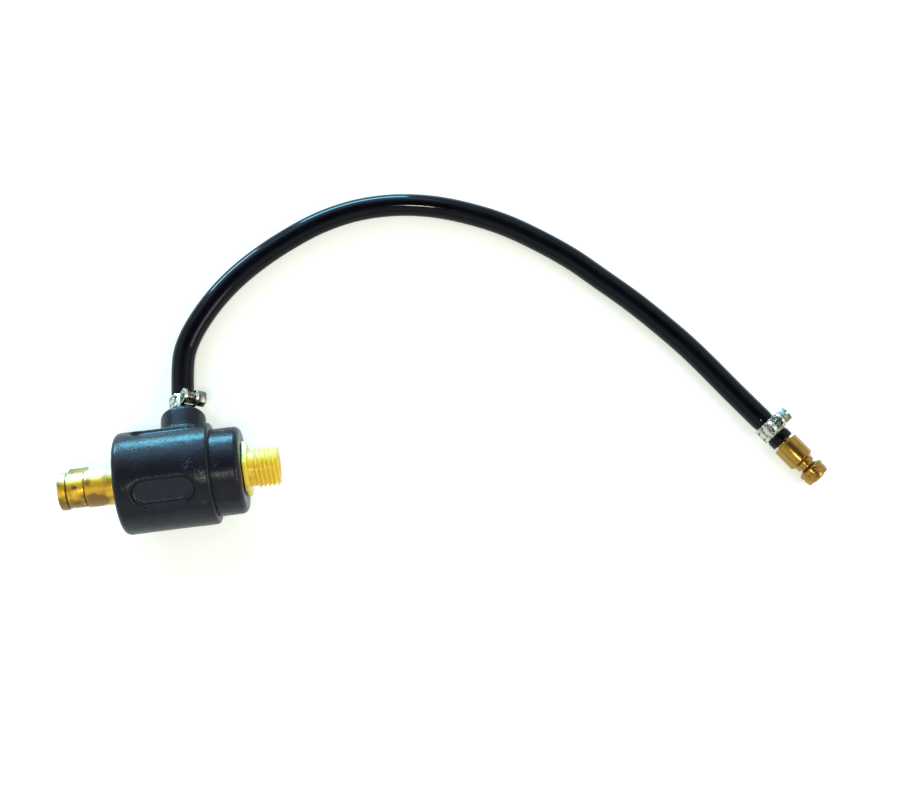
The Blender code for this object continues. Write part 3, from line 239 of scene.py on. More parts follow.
def moulded_rubber(name, colours, floor_radius, scuffs_and_glints):
    """Compression-moulded rubber: satin and nearly black, pitted by its mould, scuffed grey in places, with
    painted glints among the scuffs and a painted highlight on the recess floors.
    """
    surface = new_surface(name, 0.27, 0.0, IOR=1.45, Specular_IOR_Level=0.3)
    _, tree, _, where = surface
    mottle = add_node(tree, "ShaderNodeTexNoise", {"Vector": where, "Scale": per_metre(9.0), "Detail": 5.0})
    bloom = add_node(tree, "ShaderNodeMapRange", (mottle, 0.40, 0.75, 0.0, 0.035))
    # the floors of the finger recesses keep a pale dust, and are painted paler also as a painted highlight
    # of the lamp
    dust_and_highlight = add_node(tree, "ShaderNodeMapRange", (from_axis(tree, where), floor_radius,
                                                 floor_radius + 1.2 * MM, 0.09, 0.0))
    total = add_node(tree, "ShaderNodeMath", (bloom, dust_and_highlight), operation="ADD")
    scratch = add_node(tree, "ShaderNodeTexNoise", {"Vector": where, "Scale": per_metre(1.0), "Detail": 2.0,
                                                    "Distortion": 1.5})
    scratch_and_glint_mask = add_node(tree, "ShaderNodeMapRange", (scratch, 0.56, 0.62, 0.0, 1.0))
    # scuffs, some of them painted glints where the lamp and the sky catch the grain
    for point, reach, amount in scuffs_and_glints:
        spot = near_point(tree, where, point, reach)
        mark = add_node(tree, "ShaderNodeMath", (spot, scratch_and_glint_mask), operation="MULTIPLY")
        total = add_node(tree, "ShaderNodeMath", (mark, amount, total), operation="MULTIPLY_ADD")
    # pits about half a millimetre across, left by the mould 1.3 mm apart
    pits = add_node(tree, "ShaderNodeTexVoronoi", {"Vector": where, "Scale": per_metre(1.3)})
    pit = add_node(tree, "ShaderNodeMapRange", (pits, 0.08, 0.30, 0.0, 1.0))
    grain = add_node(tree, "ShaderNodeTexNoise", {"Vector": where, "Scale": per_metre(0.8), "Detail": 3.0})
    height = add_node(tree, "ShaderNodeMath", (grain, pit), operation="ADD")
    return finish_surface(surface, total, colours.rubber, colours.rubber_bloom_and_highlight, height, 0.3, 0.10 * MM,
                          (grain, 0.3, 0.7, 0.22, 0.33))


def extruded_rubber(colours):
    """Extruded rubber hose: smooth and glossy black, with slow waves in its skin from the die."""
    surface = new_surface("extruded_hose_rubber", 0.08, 0.0, IOR=1.45, Specular_IOR_Level=0.2)
    _, tree, _, where = surface
    wave = add_node(tree, "ShaderNodeTexNoise", {"Vector": where, "Scale": per_metre(7.0), "Detail": 3.0})
    share = add_node(tree, "ShaderNodeMapRange", (wave, 0.4, 0.8, 0.0, 0.5))
    return finish_surface(surface, share, colours.hose, colours.rubber, wave, 0.1, 0.15 * MM,
                          (wave, 0.3, 0.7, 0.05, 0.11))


# pale colour of the painted highlight on the brass's +Y side
PAINTED_HIGHLIGHT_BRASS = "EEF6CC"
GRIME = "403A2E"


def turned_brass(name, colour, tarnish, spots, roughness, marks, axis_turn=(0.0, 0.0, 0.0), patch=2.6,
                 stains_and_shade=(), low_side=0.0, roots=None, pale=0.0, metallic=0.85):
    """Turned brass: fine rings left by the tool, brown tarnish where hands have been, and a thin clear
    film that turns the edges of a highlight from gold to white.

    Stains are (point, reach) of extra tarnish, also painted shade on the stud's flange, low_side adds
    tarnish towards -Y as painted shade, roots is (inner radius, outer radius, colour) of what lies between
    threads, tarnish on the pin and painted shade on the stud, pale is how far the +Y side is painted
    paler as a painted highlight, and metallic falls as oxide dulls the metal.
    """
    surface = new_surface(name, roughness, metallic, Coat_Weight=0.5, Coat_Roughness=0.2)
    _, tree, _, where = surface
    blotch = add_node(tree, "ShaderNodeTexNoise", {"Vector": where, "Scale": per_metre(patch), "Detail": 4.0,
                                                   "Roughness": 0.55})
    # painted shade: the tarnish grows towards -Y and thins towards +Y, darker on the side away from the
    # light
    side = add_node(tree, "ShaderNodeSeparateXYZ", (where,)).outputs["Y"]
    lean = add_node(tree, "ShaderNodeMapRange", (side, -6.0 * MM, 6.0 * MM, low_side, -low_side))
    amount = add_node(tree, "ShaderNodeMath", (blotch, lean), operation="ADD")
    for point, reach in stains_and_shade:
        stain = near_point(tree, where, point, reach)
        amount = add_node(tree, "ShaderNodeMath", (stain, 0.35, amount), operation="MULTIPLY_ADD")
    cover = add_node(tree, "ShaderNodeMapRange", (amount, 0.60 - 0.3 * spots, 0.78 - 0.2 * spots, 0.0,
                                                  min(1.0, 1.6 * spots)))
    metal = colour
    # colour between threads and in grooves: tarnish on the pin, painted shade on the stud
    if roots:
        inner, outer, between = roots
        rise = add_node(tree, "ShaderNodeMapRange", (from_axis(tree, where), inner, outer))
        metal = add_node(tree, "ShaderNodeMix", {"Factor": rise, 6: between, 7: metal},
                         data_type="RGBA").outputs[2]
    # painted highlight: the +Y side turns pale, standing in for the sky's reflection there
    if pale:
        upper = add_node(tree, "ShaderNodeMapRange", (side, 1.0 * MM, 5.0 * MM, 0.0, pale))
        metal = add_node(tree, "ShaderNodeMix", {"Factor": upper, 6: metal, 7: linear(PAINTED_HIGHLIGHT_BRASS)},
                         data_type="RGBA").outputs[2]
    # The wave node makes 20 radians of each unit, so 0.2 mm a radian puts the tool's rings 1.26 mm
    # apart. Real ones are finer and wouldn't show.
    along = add_node(tree, "ShaderNodeMapping", {"Vector": where, "Rotation": axis_turn})
    rings = add_node(tree, "ShaderNodeTexWave", {"Vector": along, "Scale": per_metre(0.2) / 20,
                                                 "Distortion": 1.5, "Detail": 1.0}, bands_direction="X")
    dents = add_node(tree, "ShaderNodeTexNoise", {"Vector": where, "Scale": per_metre(1.4), "Detail": 2.0})
    height = add_node(tree, "ShaderNodeMath", (rings.outputs["Fac"], 0.25, dents), operation="MULTIPLY_ADD")
    return finish_surface(surface, cover, metal, tarnish, height, marks, 0.1 * MM,
                          (cover, 0.0, 1.0, roughness, roughness + 0.2))


def plated_steel(name, colour, roughness):
    """Zinc-plated steel: pale and bright, with a mint cast, small dents and brown-grey grime."""
    surface = new_surface(name, roughness, 1.0)
    _, tree, _, where = surface
    grime = add_node(tree, "ShaderNodeTexNoise", {"Vector": where, "Scale": per_metre(2.2), "Detail": 3.0})
    cover = add_node(tree, "ShaderNodeMapRange", (grime, 0.50, 0.70, 0.0, 0.5))
    dents = add_node(tree, "ShaderNodeTexNoise", {"Vector": where, "Scale": per_metre(1.0), "Detail": 2.0})
    return finish_surface(surface, cover, colour, linear(GRIME), dents, 0.07, 0.06 * MM,
                          (grime, 0.3, 0.7, roughness, roughness + 0.12))


def plain_finish(name, code, roughness, metallic, grain_mm):
    """Matt finish of an inner piece: pressed fibre, phenolic tube, black oxide or seal rubber."""
    surface = new_surface(name, roughness, metallic)
    _, tree, _, where = surface
    base = linear(code)
    darker = [channel * 0.55 for channel in base]
    grain = add_node(tree, "ShaderNodeTexNoise", {"Vector": where, "Scale": per_metre(grain_mm),
                                                  "Detail": 4.0})
    return finish_surface(surface, grain, base, darker, grain, 0.3, 0.05 * MM)


# ---------------------------------------------------------------- modelling by hand
SEED = 0.5 * MM              # side of the plane that a drawn line starts from
MERGE = 1e-6
MOULD_VOXEL = 0.34 * MM
MOULD_WAVES = 3.0 * MM
PLUG_AXIS = Matrix(((0, 0, 1, 0), (0, 1, 0, 0), (-1, 0, 0, 0), (0, 0, 0, 1)))


def deselect():
    if bpy.context.mode != "OBJECT":
        bpy.ops.object.mode_set(mode="OBJECT")
    bpy.ops.object.select_all(action="DESELECT")


def activate(piece):
    deselect()
    piece.select_set(True)
    bpy.context.view_layer.objects.active = piece


def select_edges(piece, wanted):
    """In edit mode, select only the edges whose two ends pass a test."""
    bpy.ops.mesh.select_mode(type="EDGE")
    bpy.ops.mesh.select_all(action="DESELECT")
    mesh = bmesh.from_edit_mesh(piece.data)
    for edge in mesh.edges:
        if wanted(edge.verts[0].co, edge.verts[1].co):
            edge.select_set(True)
    bmesh.update_edit_mesh(piece.data)


def apply_place(piece):
    activate(piece)
    bpy.ops.object.transform_apply(location=True, rotation=True, scale=True)


def place_new(name, place):
    """Name the primitive that was just added, and move its mesh to a place."""
    piece = bpy.context.active_object
    piece.name = name
    piece.matrix_world = place
    apply_place(piece)
    return piece


def axes(origin, along, side):
    """Matrix whose Z runs along a direction and whose X points to the given side."""
    z_axis = Vector(along).normalized()
    y_axis = z_axis.cross(Vector(side)).normalized()
    x_axis = y_axis.cross(z_axis)
    return Matrix.Translation(origin) @ Matrix((x_axis, y_axis, z_axis)).transposed().to_4x4()


def round_plug(along, turn, radius):
    """Point at a radius from the plug axis, a turn in degrees from the top towards +Y."""
    return Vector((along, radius * sin(radians(turn)), radius * cos(radians(turn))))


def drawn_line(name, points, closed=False):
    """A line drawn by extruding one point from place to place, left open in edit mode."""
    if closed:
        points = points + points[:1]
    deselect()
    bpy.ops.mesh.primitive_plane_add(size=SEED, location=points[0])
    line = bpy.context.active_object
    line.name = name
    line.data.name = name
    apply_place(line)
    bpy.ops.object.mode_set(mode="EDIT")
    bpy.ops.mesh.select_mode(type="VERT")
    bpy.ops.mesh.select_all(action="SELECT")
    bpy.ops.mesh.merge(type="CENTER")
    for near, far in zip(points, points[1:]):
        bpy.ops.mesh.extrude_vertices_move(TRANSFORM_OT_translate={"value": far - near})
    bpy.ops.mesh.select_all(action="SELECT")
    bpy.ops.mesh.remove_doubles(threshold=MERGE)
    return line


def clean_shell():
    """Merge doubles and turn all faces outwards, then leave edit mode."""
    bpy.ops.mesh.select_all(action="SELECT")
    bpy.ops.mesh.remove_doubles(threshold=MERGE)
    bpy.ops.mesh.normals_make_consistent(inside=False)
    bpy.ops.object.mode_set(mode="OBJECT")


def slab(name, outline, thickness):
    """A closed outline, filled and drawn out along a thickness."""
    piece = drawn_line(name, outline, closed=True)
    bpy.ops.mesh.edge_face_add()
    bpy.ops.mesh.extrude_region_move(TRANSFORM_OT_translate={"value": thickness})
    clean_shell()
    return piece


def rounded(corners, segments):
    """Profile points of corners given as (along, radius) or (along, radius, rounding)."""
    points = []
    for i, corner in enumerate(corners):
        here = Vector(corner[:2])
        rounding = corner[2] if len(corner) > 2 else 0.0
        if not rounding:
            points.append(tuple(here))
            continue
        back = (Vector(corners[i - 1][:2]) - here).normalized()
        ahead = (Vector(corners[(i + 1) % len(corners)][:2]) - here).normalized()
        half = acos(max(-1.0, min(1.0, back.dot(ahead)))) / 2
        reach = rounding / tan(half)
        centre = here + (back + ahead).normalized() * (rounding / sin(half))
        start = here + back * reach - centre
        end = here + ahead * reach - centre
        sweep = atan2(start.cross(end), start.dot(end))
        for step in range(segments + 1):
            turn = sweep * step / segments
            spoke = Vector((start.x * cos(turn) - start.y * sin(turn),
                            start.x * sin(turn) + start.y * cos(turn)))
            points.append(tuple(centre + spoke))
    return points


def turned(name, corners, steps, place=PLUG_AXIS, segments=5, closed=False):
    """Spin a profile of corners, some of them rounded, round the Z axis of a place."""
    points = [place @ Vector((radius, 0.0, along)) for along, radius in rounded(corners, segments)]
    piece = drawn_line(name, points, closed)
    bpy.ops.mesh.select_all(action="SELECT")
    bpy.ops.mesh.spin(steps=steps, angle=2 * pi, center=place.translation, axis=place.to_3x3().col[2])
    clean_shell()
    return piece


def modify(piece, kind, **values):
    """Give a piece a modifier and apply it."""
    activate(piece)
    modifier = piece.modifiers.new(kind, kind)
    for name, value in values.items():
        setattr(modifier, name, value)
    bpy.ops.object.modifier_apply(modifier=modifier.name)


def helix(name, root, crest, pitch, low, high, steps, place):
    """A right-hand thread ridge of 60 degrees round the Z axis of a place, closed at both ends."""
    sunk = root - 0.16 * pitch
    base = 0.43 * pitch
    flat = 0.06 * pitch
    section = [Vector((sunk, 0, low - base)), Vector((crest, 0, low - flat)),
               Vector((crest, 0, low + flat)), Vector((sunk, 0, low + base))]
    ridge = drawn_line(name, section, closed=True)
    modify(ridge, "SCREW", axis="Z", screw_offset=pitch, iterations=max(1, int(round((high - low) / pitch))),
           steps=steps, render_steps=steps)
    bpy.ops.object.mode_set(mode="EDIT")
    bpy.ops.mesh.select_all(action="SELECT")
    bpy.ops.mesh.fill_holes(sides=0)
    clean_shell()
    ridge.matrix_world = place
    apply_place(ridge)
    return ridge


def block(name, size, place):
    """A box of a given size, centred in a place."""
    deselect()
    bpy.ops.mesh.primitive_cube_add(size=1.0)
    return place_new(name, place @ Matrix.Diagonal((*size, 1.0)))


def prism(name, sides, across_flats, low, high, place):
    """A straight prism with a regular outline along the Z axis of a place."""
    deselect()
    bpy.ops.mesh.primitive_cylinder_add(vertices=sides, radius=across_flats / 2 / cos(pi / sides),
                                        depth=high - low)
    return place_new(name, place @ Matrix.Translation((0, 0, (low + high) / 2)))


def combine(piece, tool, operation):
    modify(piece, "BOOLEAN", operation=operation, object=tool, solver="EXACT")
    bpy.data.objects.remove(tool, do_unlink=True)


def soften(piece, width, segments=3, angle=30):
    modify(piece, "BEVEL", width=width, segments=segments, limit_method="ANGLE",
           angle_limit=radians(angle), use_clamp_overlap=True)


def mould_skin(piece, smoothing, depth):
    """Make a piece one even skin with soft edges, then give it shallow hollows and swellings."""
    modify(piece, "REMESH", mode="VOXEL", voxel_size=MOULD_VOXEL)
    modify(piece, "SMOOTH", factor=0.5, iterations=smoothing)
    texture = bpy.data.textures.new("mould_waves", "CLOUDS")
    texture.noise_scale = MOULD_WAVES
    texture.noise_depth = 2
    modify(piece, "DISPLACE", texture=texture, texture_coords="LOCAL", strength=depth, mid_level=0.5)
    bpy.data.textures.remove(texture)


def finish_piece(piece, material, node, body="adaptor", angle=35):
    piece.data.materials.clear()
    piece.data.materials.append(material)
    activate(piece)
    bpy.ops.object.shade_smooth_by_angle(angle=radians(angle))
    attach(piece, body)
    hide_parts(node)
    deselect()


# ---------------------------------------------------------------- stage
FOCAL_LENGTH_PX = 1580.0
IMAGE_WIDTH_PX = 912.0
SENSOR_MM = 36.0
CAMERA_LOOK = Euler((radians(12.5), 0.0, radians(-7.2)))
CAMERA_TARGET = Vector((137.5 * MM, 15.0 * MM, 0.0))
CAMERA_DISTANCE = 545.0 * MM
FLOOR_GLOW = 0.42
MIRRORED_GLOW = 0.20
ROOM_STRENGTH = 1.6


class ADAPTOR_OT_stage(bpy.types.Operator):
    """Set up the floor, the lamps, the surroundings and the camera"""
    bl_idname = "adaptor.stage"
    bl_label = "Stage"

    def execute(self, context):
        self.make_floor()
        self.make_lamps()
        self.make_surroundings(context.scene)
        self.make_camera(context.scene)
        context.scene.view_settings.view_transform = "Standard"
        return {"FINISHED"}

    def make_floor(self):
        deselect()
        bpy.ops.mesh.primitive_plane_add(size=6.0, location=(0.13, 0.02, TABLE - 0.05 * MM))
        floor = bpy.context.active_object
        floor.name = "floor"
        material = bpy.data.materials.new("matt_white_floor")
        tree, output = empty_tree(material, "ShaderNodeOutputMaterial")
        # white where it is seen, also in the metal, while its shadows stay
        ray = tree.nodes.new("ShaderNodeLightPath").outputs
        mirrored = add_node(tree, "ShaderNodeMath", (ray["Is Glossy Ray"], ray["Is Transmission Ray"]),
                            operation="MAXIMUM")
        mirrored = add_node(tree, "ShaderNodeMath", (mirrored, MIRRORED_GLOW), operation="MULTIPLY")
        power = add_node(tree, "ShaderNodeMath", (ray["Is Camera Ray"], FLOOR_GLOW, mirrored),
                         operation="MULTIPLY_ADD")
        paint = add_node(tree, "ShaderNodeBsdfDiffuse", {"Color": (0.86, 0.86, 0.85)})
        glow = add_node(tree, "ShaderNodeEmission", {"Color": (0.95, 1.0, 0.78), "Strength": power})
        both = add_node(tree, "ShaderNodeAddShader", (paint, glow))
        tree.links.new(both.outputs[0], output.inputs["Surface"])
        floor.data.materials.append(material)

    def make_lamps(self):
        # name, place, size, radiance: two low window panes with a cool sky above them, a small
        # lamp high beside the camera and a softbox at the stud's side
        lamps = [
            ("window_left", (-0.375, 0.800, 0.075), (0.20, 0.20), (15.0, 32.0, 41.0)),
            ("window_right", (0.020, 0.935, 0.095), (0.40, 0.25), (7.8, 26.5, 38.0)),
            ("window_sky", (-0.130, 0.965, 0.550), (0.95, 0.55), (0.65, 1.45, 2.7)),
            ("overhead_lamp", (0.029, -0.250, 0.815), (0.055, 0.055), (110.0, 110.0, 96.0)),
            ("side_softbox", (0.745, -0.265, 0.555), (0.35, 0.35), (4.5, 4.2, 3.7)),
        ]
        target = Vector((0.10, 0.04, 0.0))
        for name, place, size, radiance in lamps:
            data = bpy.data.lights.new(name, "AREA")
            data.shape = "RECTANGLE"
            data.size, data.size_y = size
            strongest = max(radiance)
            data.energy = strongest * pi * size[0] * size[1]
            data.color = [channel / strongest for channel in radiance]
            lamp = bpy.data.objects.new(name, data)
            bpy.context.scene.collection.objects.link(lamp)
            lamp.location = place
            lamp.rotation_euler = (target - lamp.location).to_track_quat("-Z", "Y").to_euler()

    def make_surroundings(self, scene):
        world = bpy.data.worlds.new("pale_studio")
        scene.world = world
        tree, output = empty_tree(world, "ShaderNodeOutputWorld")
        where = tree.nodes.new("ShaderNodeTexCoord")
        split = add_node(tree, "ShaderNodeSeparateXYZ", (where.outputs["Generated"],))
        # pale walls between a darker horizon and a dark ceiling: sine of the height angle and colour
        room = add_node(tree, "ShaderNodeValToRGB", (split.outputs["Z"],), stops=[
            (0.0, (0.20, 0.21, 0.22)), (0.20, (0.52, 0.54, 0.58)), (0.62, (0.58, 0.61, 0.66)),
            (0.84, (0.28, 0.29, 0.32)), (0.95, (0.06, 0.065, 0.08))])
        sky = add_node(tree, "ShaderNodeBackground", (room, ROOM_STRENGTH))
        tree.links.new(sky.outputs[0], output.inputs["Surface"])

    def make_camera(self, scene):
        data = bpy.data.cameras.new("camera")
        camera = bpy.data.objects.new("camera", data)
        scene.collection.objects.link(camera)
        data.sensor_fit = "HORIZONTAL"
        data.sensor_width = SENSOR_MM
        data.lens = FOCAL_LENGTH_PX / IMAGE_WIDTH_PX * SENSOR_MM
        data.clip_start = 0.01
        camera.rotation_euler = CAMERA_LOOK
        camera.location = CAMERA_TARGET + CAMERA_LOOK.to_matrix() @ Vector((0.0, 0.0, CAMERA_DISTANCE))
        scene.camera = camera


# ---------------------------------------------------------------- gas hose
# Middle of the hose on the table, in plan, from the boss to the far end, in mm
HOSE_ROUTE = [
    (43.9, 46.0), (46.7, 52.5), (51.4, 59.3), (57.7, 66.3), (65.5, 73.0), (74.6, 79.0), (85.0, 84.5),
    (97.0, 89.4), (110.5, 92.4), (124.6, 92.7), (138.2, 90.5), (151.0, 86.2), (163.4, 80.3),
    (174.8, 72.9), (185.6, 64.6), (195.5, 55.3), (205.3, 45.8), (214.4, 35.9), (223.0, 25.7)]
HOSE_END = Vector((250.0 * MM, -11.5 * MM, TABLE + 4.75 * MM))
HOSE_RISE = [(24.0, 0.0), (17.0, 0.45), (11.0, 1.0)]     # mm back from the end, share of the rise
HOSE_CLEARANCE = 0.1 * MM
HOSE_POINT_STEP = 1.2 * MM
PINCH_REACH = 1.4 * MM            # beyond a clip, where the hose is round again
TAIL_SWELL = 0.25 * MM
TAIL_SWELL_REACH = 3.5 * MM
CUT_ROUNDING = 0.2 * MM
CUT_REACH = 0.25 * MM


def boss_point(sizes, distance):
    """Point on the boss axis, that far from the plug axis."""
    return Vector((SLEEVE_LOW[0] + sizes.boss_offset, 0.0, 0.0)) + BOSS_DIRECTION * distance


def boss_end(sizes):
    return SLEEVE_HIGH[2] + sizes.boss_height


def hose_route(sizes, hose):
    """The hose's own points, from inside the boss to its far end."""
    start = boss_end(sizes) - hose.hose_insertion
    clamped = boss_end(sizes) + hose.clip_offset + hose.clip_width / 2
    table_height = TABLE + HOSE_CLEARANCE + hose.hose_diameter / 2
    points = [boss_point(sizes, start), boss_point(sizes, (start + clamped) / 2),
              boss_point(sizes, clamped + 0.3 * MM)]
    points += [Vector((x * MM, y * MM, table_height)) for x, y in HOSE_ROUTE]
    for back, share in HOSE_RISE:
        point = HOSE_END - HOSE_END_DIRECTION * back * MM
        point.z = table_height + (HOSE_END.z - table_height) * share
        points.append(point)
    return points + [HOSE_END.copy()]


def smooth_curve(points, samples=24):
    """Points of a centripetal Catmull-Rom curve through the given points."""
    ends = [points[0] * 2 - points[1]] + points + [points[-1] * 2 - points[-2]]
    fine = []
    for p0, p1, p2, p3 in zip(ends, ends[1:], ends[2:], ends[3:]):
        t1 = sqrt((p1 - p0).length)
        t2 = t1 + sqrt((p2 - p1).length)
        t3 = t2 + sqrt((p3 - p2).length)
        for step in range(samples):
            t = t1 + (t2 - t1) * step / samples
            a1 = p0.lerp(p1, t / t1)
            a2 = p1.lerp(p2, (t - t1) / (t2 - t1))
            a3 = p2.lerp(p3, (t - t2) / (t3 - t2))
            b1 = a1.lerp(a2, t / t2)
            b2 = a2.lerp(a3, (t - t1) / (t3 - t1))
            fine.append(b1.lerp(b2, (t - t1) / (t2 - t1)))
    return fine + [points[-1].copy()]


def evenly(fine, step):
    """Points along a fine curve, a step apart, with the distance of each."""
    total = sum((b - a).length for a, b in zip(fine, fine[1:]))
    count = int(total / step)
    found = []
    travelled = 0.0
    index = 0
    for near, far in zip(fine, fine[1:]):
        gap = (far - near).length
        while index < count and index * total / count <= travelled + gap:
            wanted = index * total / count
            found.append((near.lerp(far, (wanted - travelled) / gap), wanted))
            index += 1
        travelled += gap
    return found + [(fine[-1], total)], total


def ease(share):
    share = min(1.0, max(0.0, share))
    return share * share * (3 - 2 * share)


class ADAPTOR_OT_gas_hose(bpy.types.Operator):
    """Lay the gas hose from the boss to its plug, pinched under both clips"""
    bl_idname = "adaptor.gas_hose"
    bl_label = "Gas hose"

    def execute(self, context):
        sizes, hose, colours = settings(context)
        points, total = evenly(smooth_curve(hose_route(sizes, hose)), HOSE_POINT_STEP)
        # one more point close to the cut end, for its soft edge
        last, before = points[-1][0], points[-2]
        points.insert(-1, (last.lerp(before[0], 0.25), total - 0.25 * (total - before[1])))
        radius = hose.hose_diameter / 2
        near_middle = hose.hose_insertion + hose.clip_offset
        far_middle = total - hose.hose_tail - hose.clip_width / 2
        curve = bpy.data.curves.new("gas_hose_look", "CURVE")
        curve.dimensions = "3D"
        curve.bevel_depth = radius
        curve.bevel_resolution = 10
        curve.use_fill_caps = True
        spline = curve.splines.new("POLY")
        spline.points.add(len(points) - 1)
        for point, (place, distance) in zip(spline.points, points):
            pinch = 0.0
            for middle in (near_middle, far_middle):
                edge = abs(distance - middle) - hose.clip_width / 2
                pinch = max(pinch, 1.0 - ease(edge / PINCH_REACH + 0.15))
            swell = TAIL_SWELL * ease((distance - far_middle) / TAIL_SWELL_REACH)
            cut = CUT_ROUNDING * (1.0 - ease((total - distance) / CUT_REACH))
            point.co = (*place, 1.0)
            point.radius = (radius - hose.hose_squeeze * pinch + swell - cut) / radius
        spline.use_smooth = True
        tube = bpy.data.objects.new("gas_hose_look", curve)
        context.scene.collection.objects.link(tube)
        curve.materials.append(extruded_rubber(colours))
        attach(tube, "adaptor")
        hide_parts("gas_hose")
        return {"FINISHED"}


# ---------------------------------------------------------------- rubber body
RUBBER_CLEARANCE = 0.3 * MM       # between the rubber and what it holds
RECESS_FLOOR_ROUNDING = 1.4 * MM


class ADAPTOR_OT_rubber_sleeve(bpy.types.Operator):
    """Mould the outer sleeve with its gas boss and finger recesses"""
    bl_idname = "adaptor.rubber_sleeve"
    bl_label = "Rubber sleeve"

    def execute(self, context):
        sizes, _, colours = settings(context)
        low, high, radius = SLEEVE_LOW[0], SLEEVE_HIGH[0], SLEEVE_HIGH[2]
        bore = LINER_HIGH[2] + RUBBER_CLEARANCE
        pin_hole = sizes.pin_diameter / 2 + RUBBER_CLEARANCE
        inner = low + 2.5 * MM
        sleeve = turned("outer_sleeve_look", [
            (high, bore), (high, radius, 1.1 * MM), (low, radius, 2.2 * MM), (low, pin_hole),
            (inner, pin_hole), (inner, bore)], 160, segments=8, closed=True)
        foot = bore + 1.0 * MM
        end = boss_end(sizes)
        boss_radius = sizes.boss_diameter / 2
        boss_place = axes(boss_point(sizes, 0.0), BOSS_DIRECTION, (1, 0, 0))
        boss = turned("boss", [(end, 0.0), (end, boss_radius, 1.2 * MM), (foot, boss_radius), (foot, 0.0)],
                      96, boss_place, 6)
        combine(sleeve, boss, "UNION")
        for number in range(sizes.recess_count):
            angle = BOSS_ANGLE + 2 * pi * (number + 0.5) / sizes.recess_count
            combine(sleeve, self.recess(sizes, low, radius, angle), "DIFFERENCE")
        mouth = prism("mouth", 64, sizes.boss_bore, bore / 2, end + 1.0 * MM, boss_place)
        combine(sleeve, mouth, "DIFFERENCE")
        mould_skin(sleeve, 20, 0.10 * MM)
        # worn places and painted glints: mm along the plug axis, degrees from the top, reach in mm, strength
        marks = [(46.5, 4.0, 3.6, 0.85), (50.0, -8.0, 2.4, 0.9), (49.5, -42.0, 1.6, 1.0),
                 (38.0, 62.0, 9.0, 0.25), (24.0, -70.0, 4.0, 0.3)]
        scuffs_and_glints = [(round_plug(x * MM, turn, radius), reach * MM, amount) for x, turn, reach, amount in marks]
        material = moulded_rubber("moulded_rubber_sleeve", colours, radius - sizes.recess_depth, scuffs_and_glints)
        finish_piece(sleeve, material, "outer_sleeve", angle=60)
        return {"FINISHED"}

    def recess(self, sizes, low, radius, angle):
        """Round-ended block with a soft floor, where a finger recess is pressed in."""
        outwards = Vector((0.0, sin(angle), cos(angle)))
        place = axes(Vector((low + sizes.recess_offset, 0, 0)) + outwards * radius, outwards, (1, 0, 0))
        tool = block("recess", (sizes.recess_length, sizes.recess_width, 2 * sizes.recess_depth), place)
        side = place.to_3x3().inverted()

        def upright(a, b):
            return abs((side @ (b - a)).z) > sizes.recess_depth

        def on_floor(a, b):
            return max((side @ (v - place.translation)).z for v in (a, b)) < -0.99 * sizes.recess_depth

        bpy.ops.object.mode_set(mode="EDIT")
        select_edges(tool, upright)
        bpy.ops.mesh.bevel(offset=sizes.recess_width / 2 * 0.998, segments=14, affect="EDGES")
        select_edges(tool, on_floor)
        bpy.ops.mesh.bevel(offset=RECESS_FLOOR_ROUNDING, segments=5, affect="EDGES")
        bpy.ops.object.mode_set(mode="OBJECT")
        return tool


class ADAPTOR_OT_end_collar(bpy.types.Operator):
    """Turn the rubber collar at the stud end"""
    bl_idname = "adaptor.end_collar"
    bl_label = "End collar"

    def execute(self, context):
        colours = settings(context)[2]
        low, high, radius = COLLAR_LOW[0], COLLAR_HIGH[0], COLLAR_HIGH[2]
        hole = 5.5 * MM
        bore = BLOCK_HIGH[2] + RUBBER_CLEARANCE
        inner = high - 2.0 * MM
        front = low - 0.8 * MM       # squeezed against the sleeve
        rear = high + 0.5 * MM       # bulges round the washer
        collar = turned("end_collar_look", [
            (rear, hole, 0.3 * MM), (rear, radius, 2.2 * MM), (front, radius, 0.3 * MM), (front, bore),
            (inner, bore), (inner, hole)], 160, segments=8, closed=True)
        mould_skin(collar, 3, 0.08 * MM)
        # scuffs on the collar, partly painted glints where the lamp and the sky catch it
        scuffs_and_glints = [(round_plug(x * MM, turn, radius), 2.0 * MM, 0.6)
                  for x, turn in ((55.0, 2.0), (54.5, -10.0), (58.0, 55.0))]
        material = moulded_rubber("moulded_rubber_collar", colours, 0.0, scuffs_and_glints)
        finish_piece(collar, material, "end_collar", angle=60)
        return {"FINISHED"}


# ---------------------------------------------------------------- brass ends
LUG_TURN = 78
DENT_TURNS = (-2.0, -58.0)
FLANGE_TURN = radians(27)
THREAD_DEPTH = 0.6134      # of the pitch


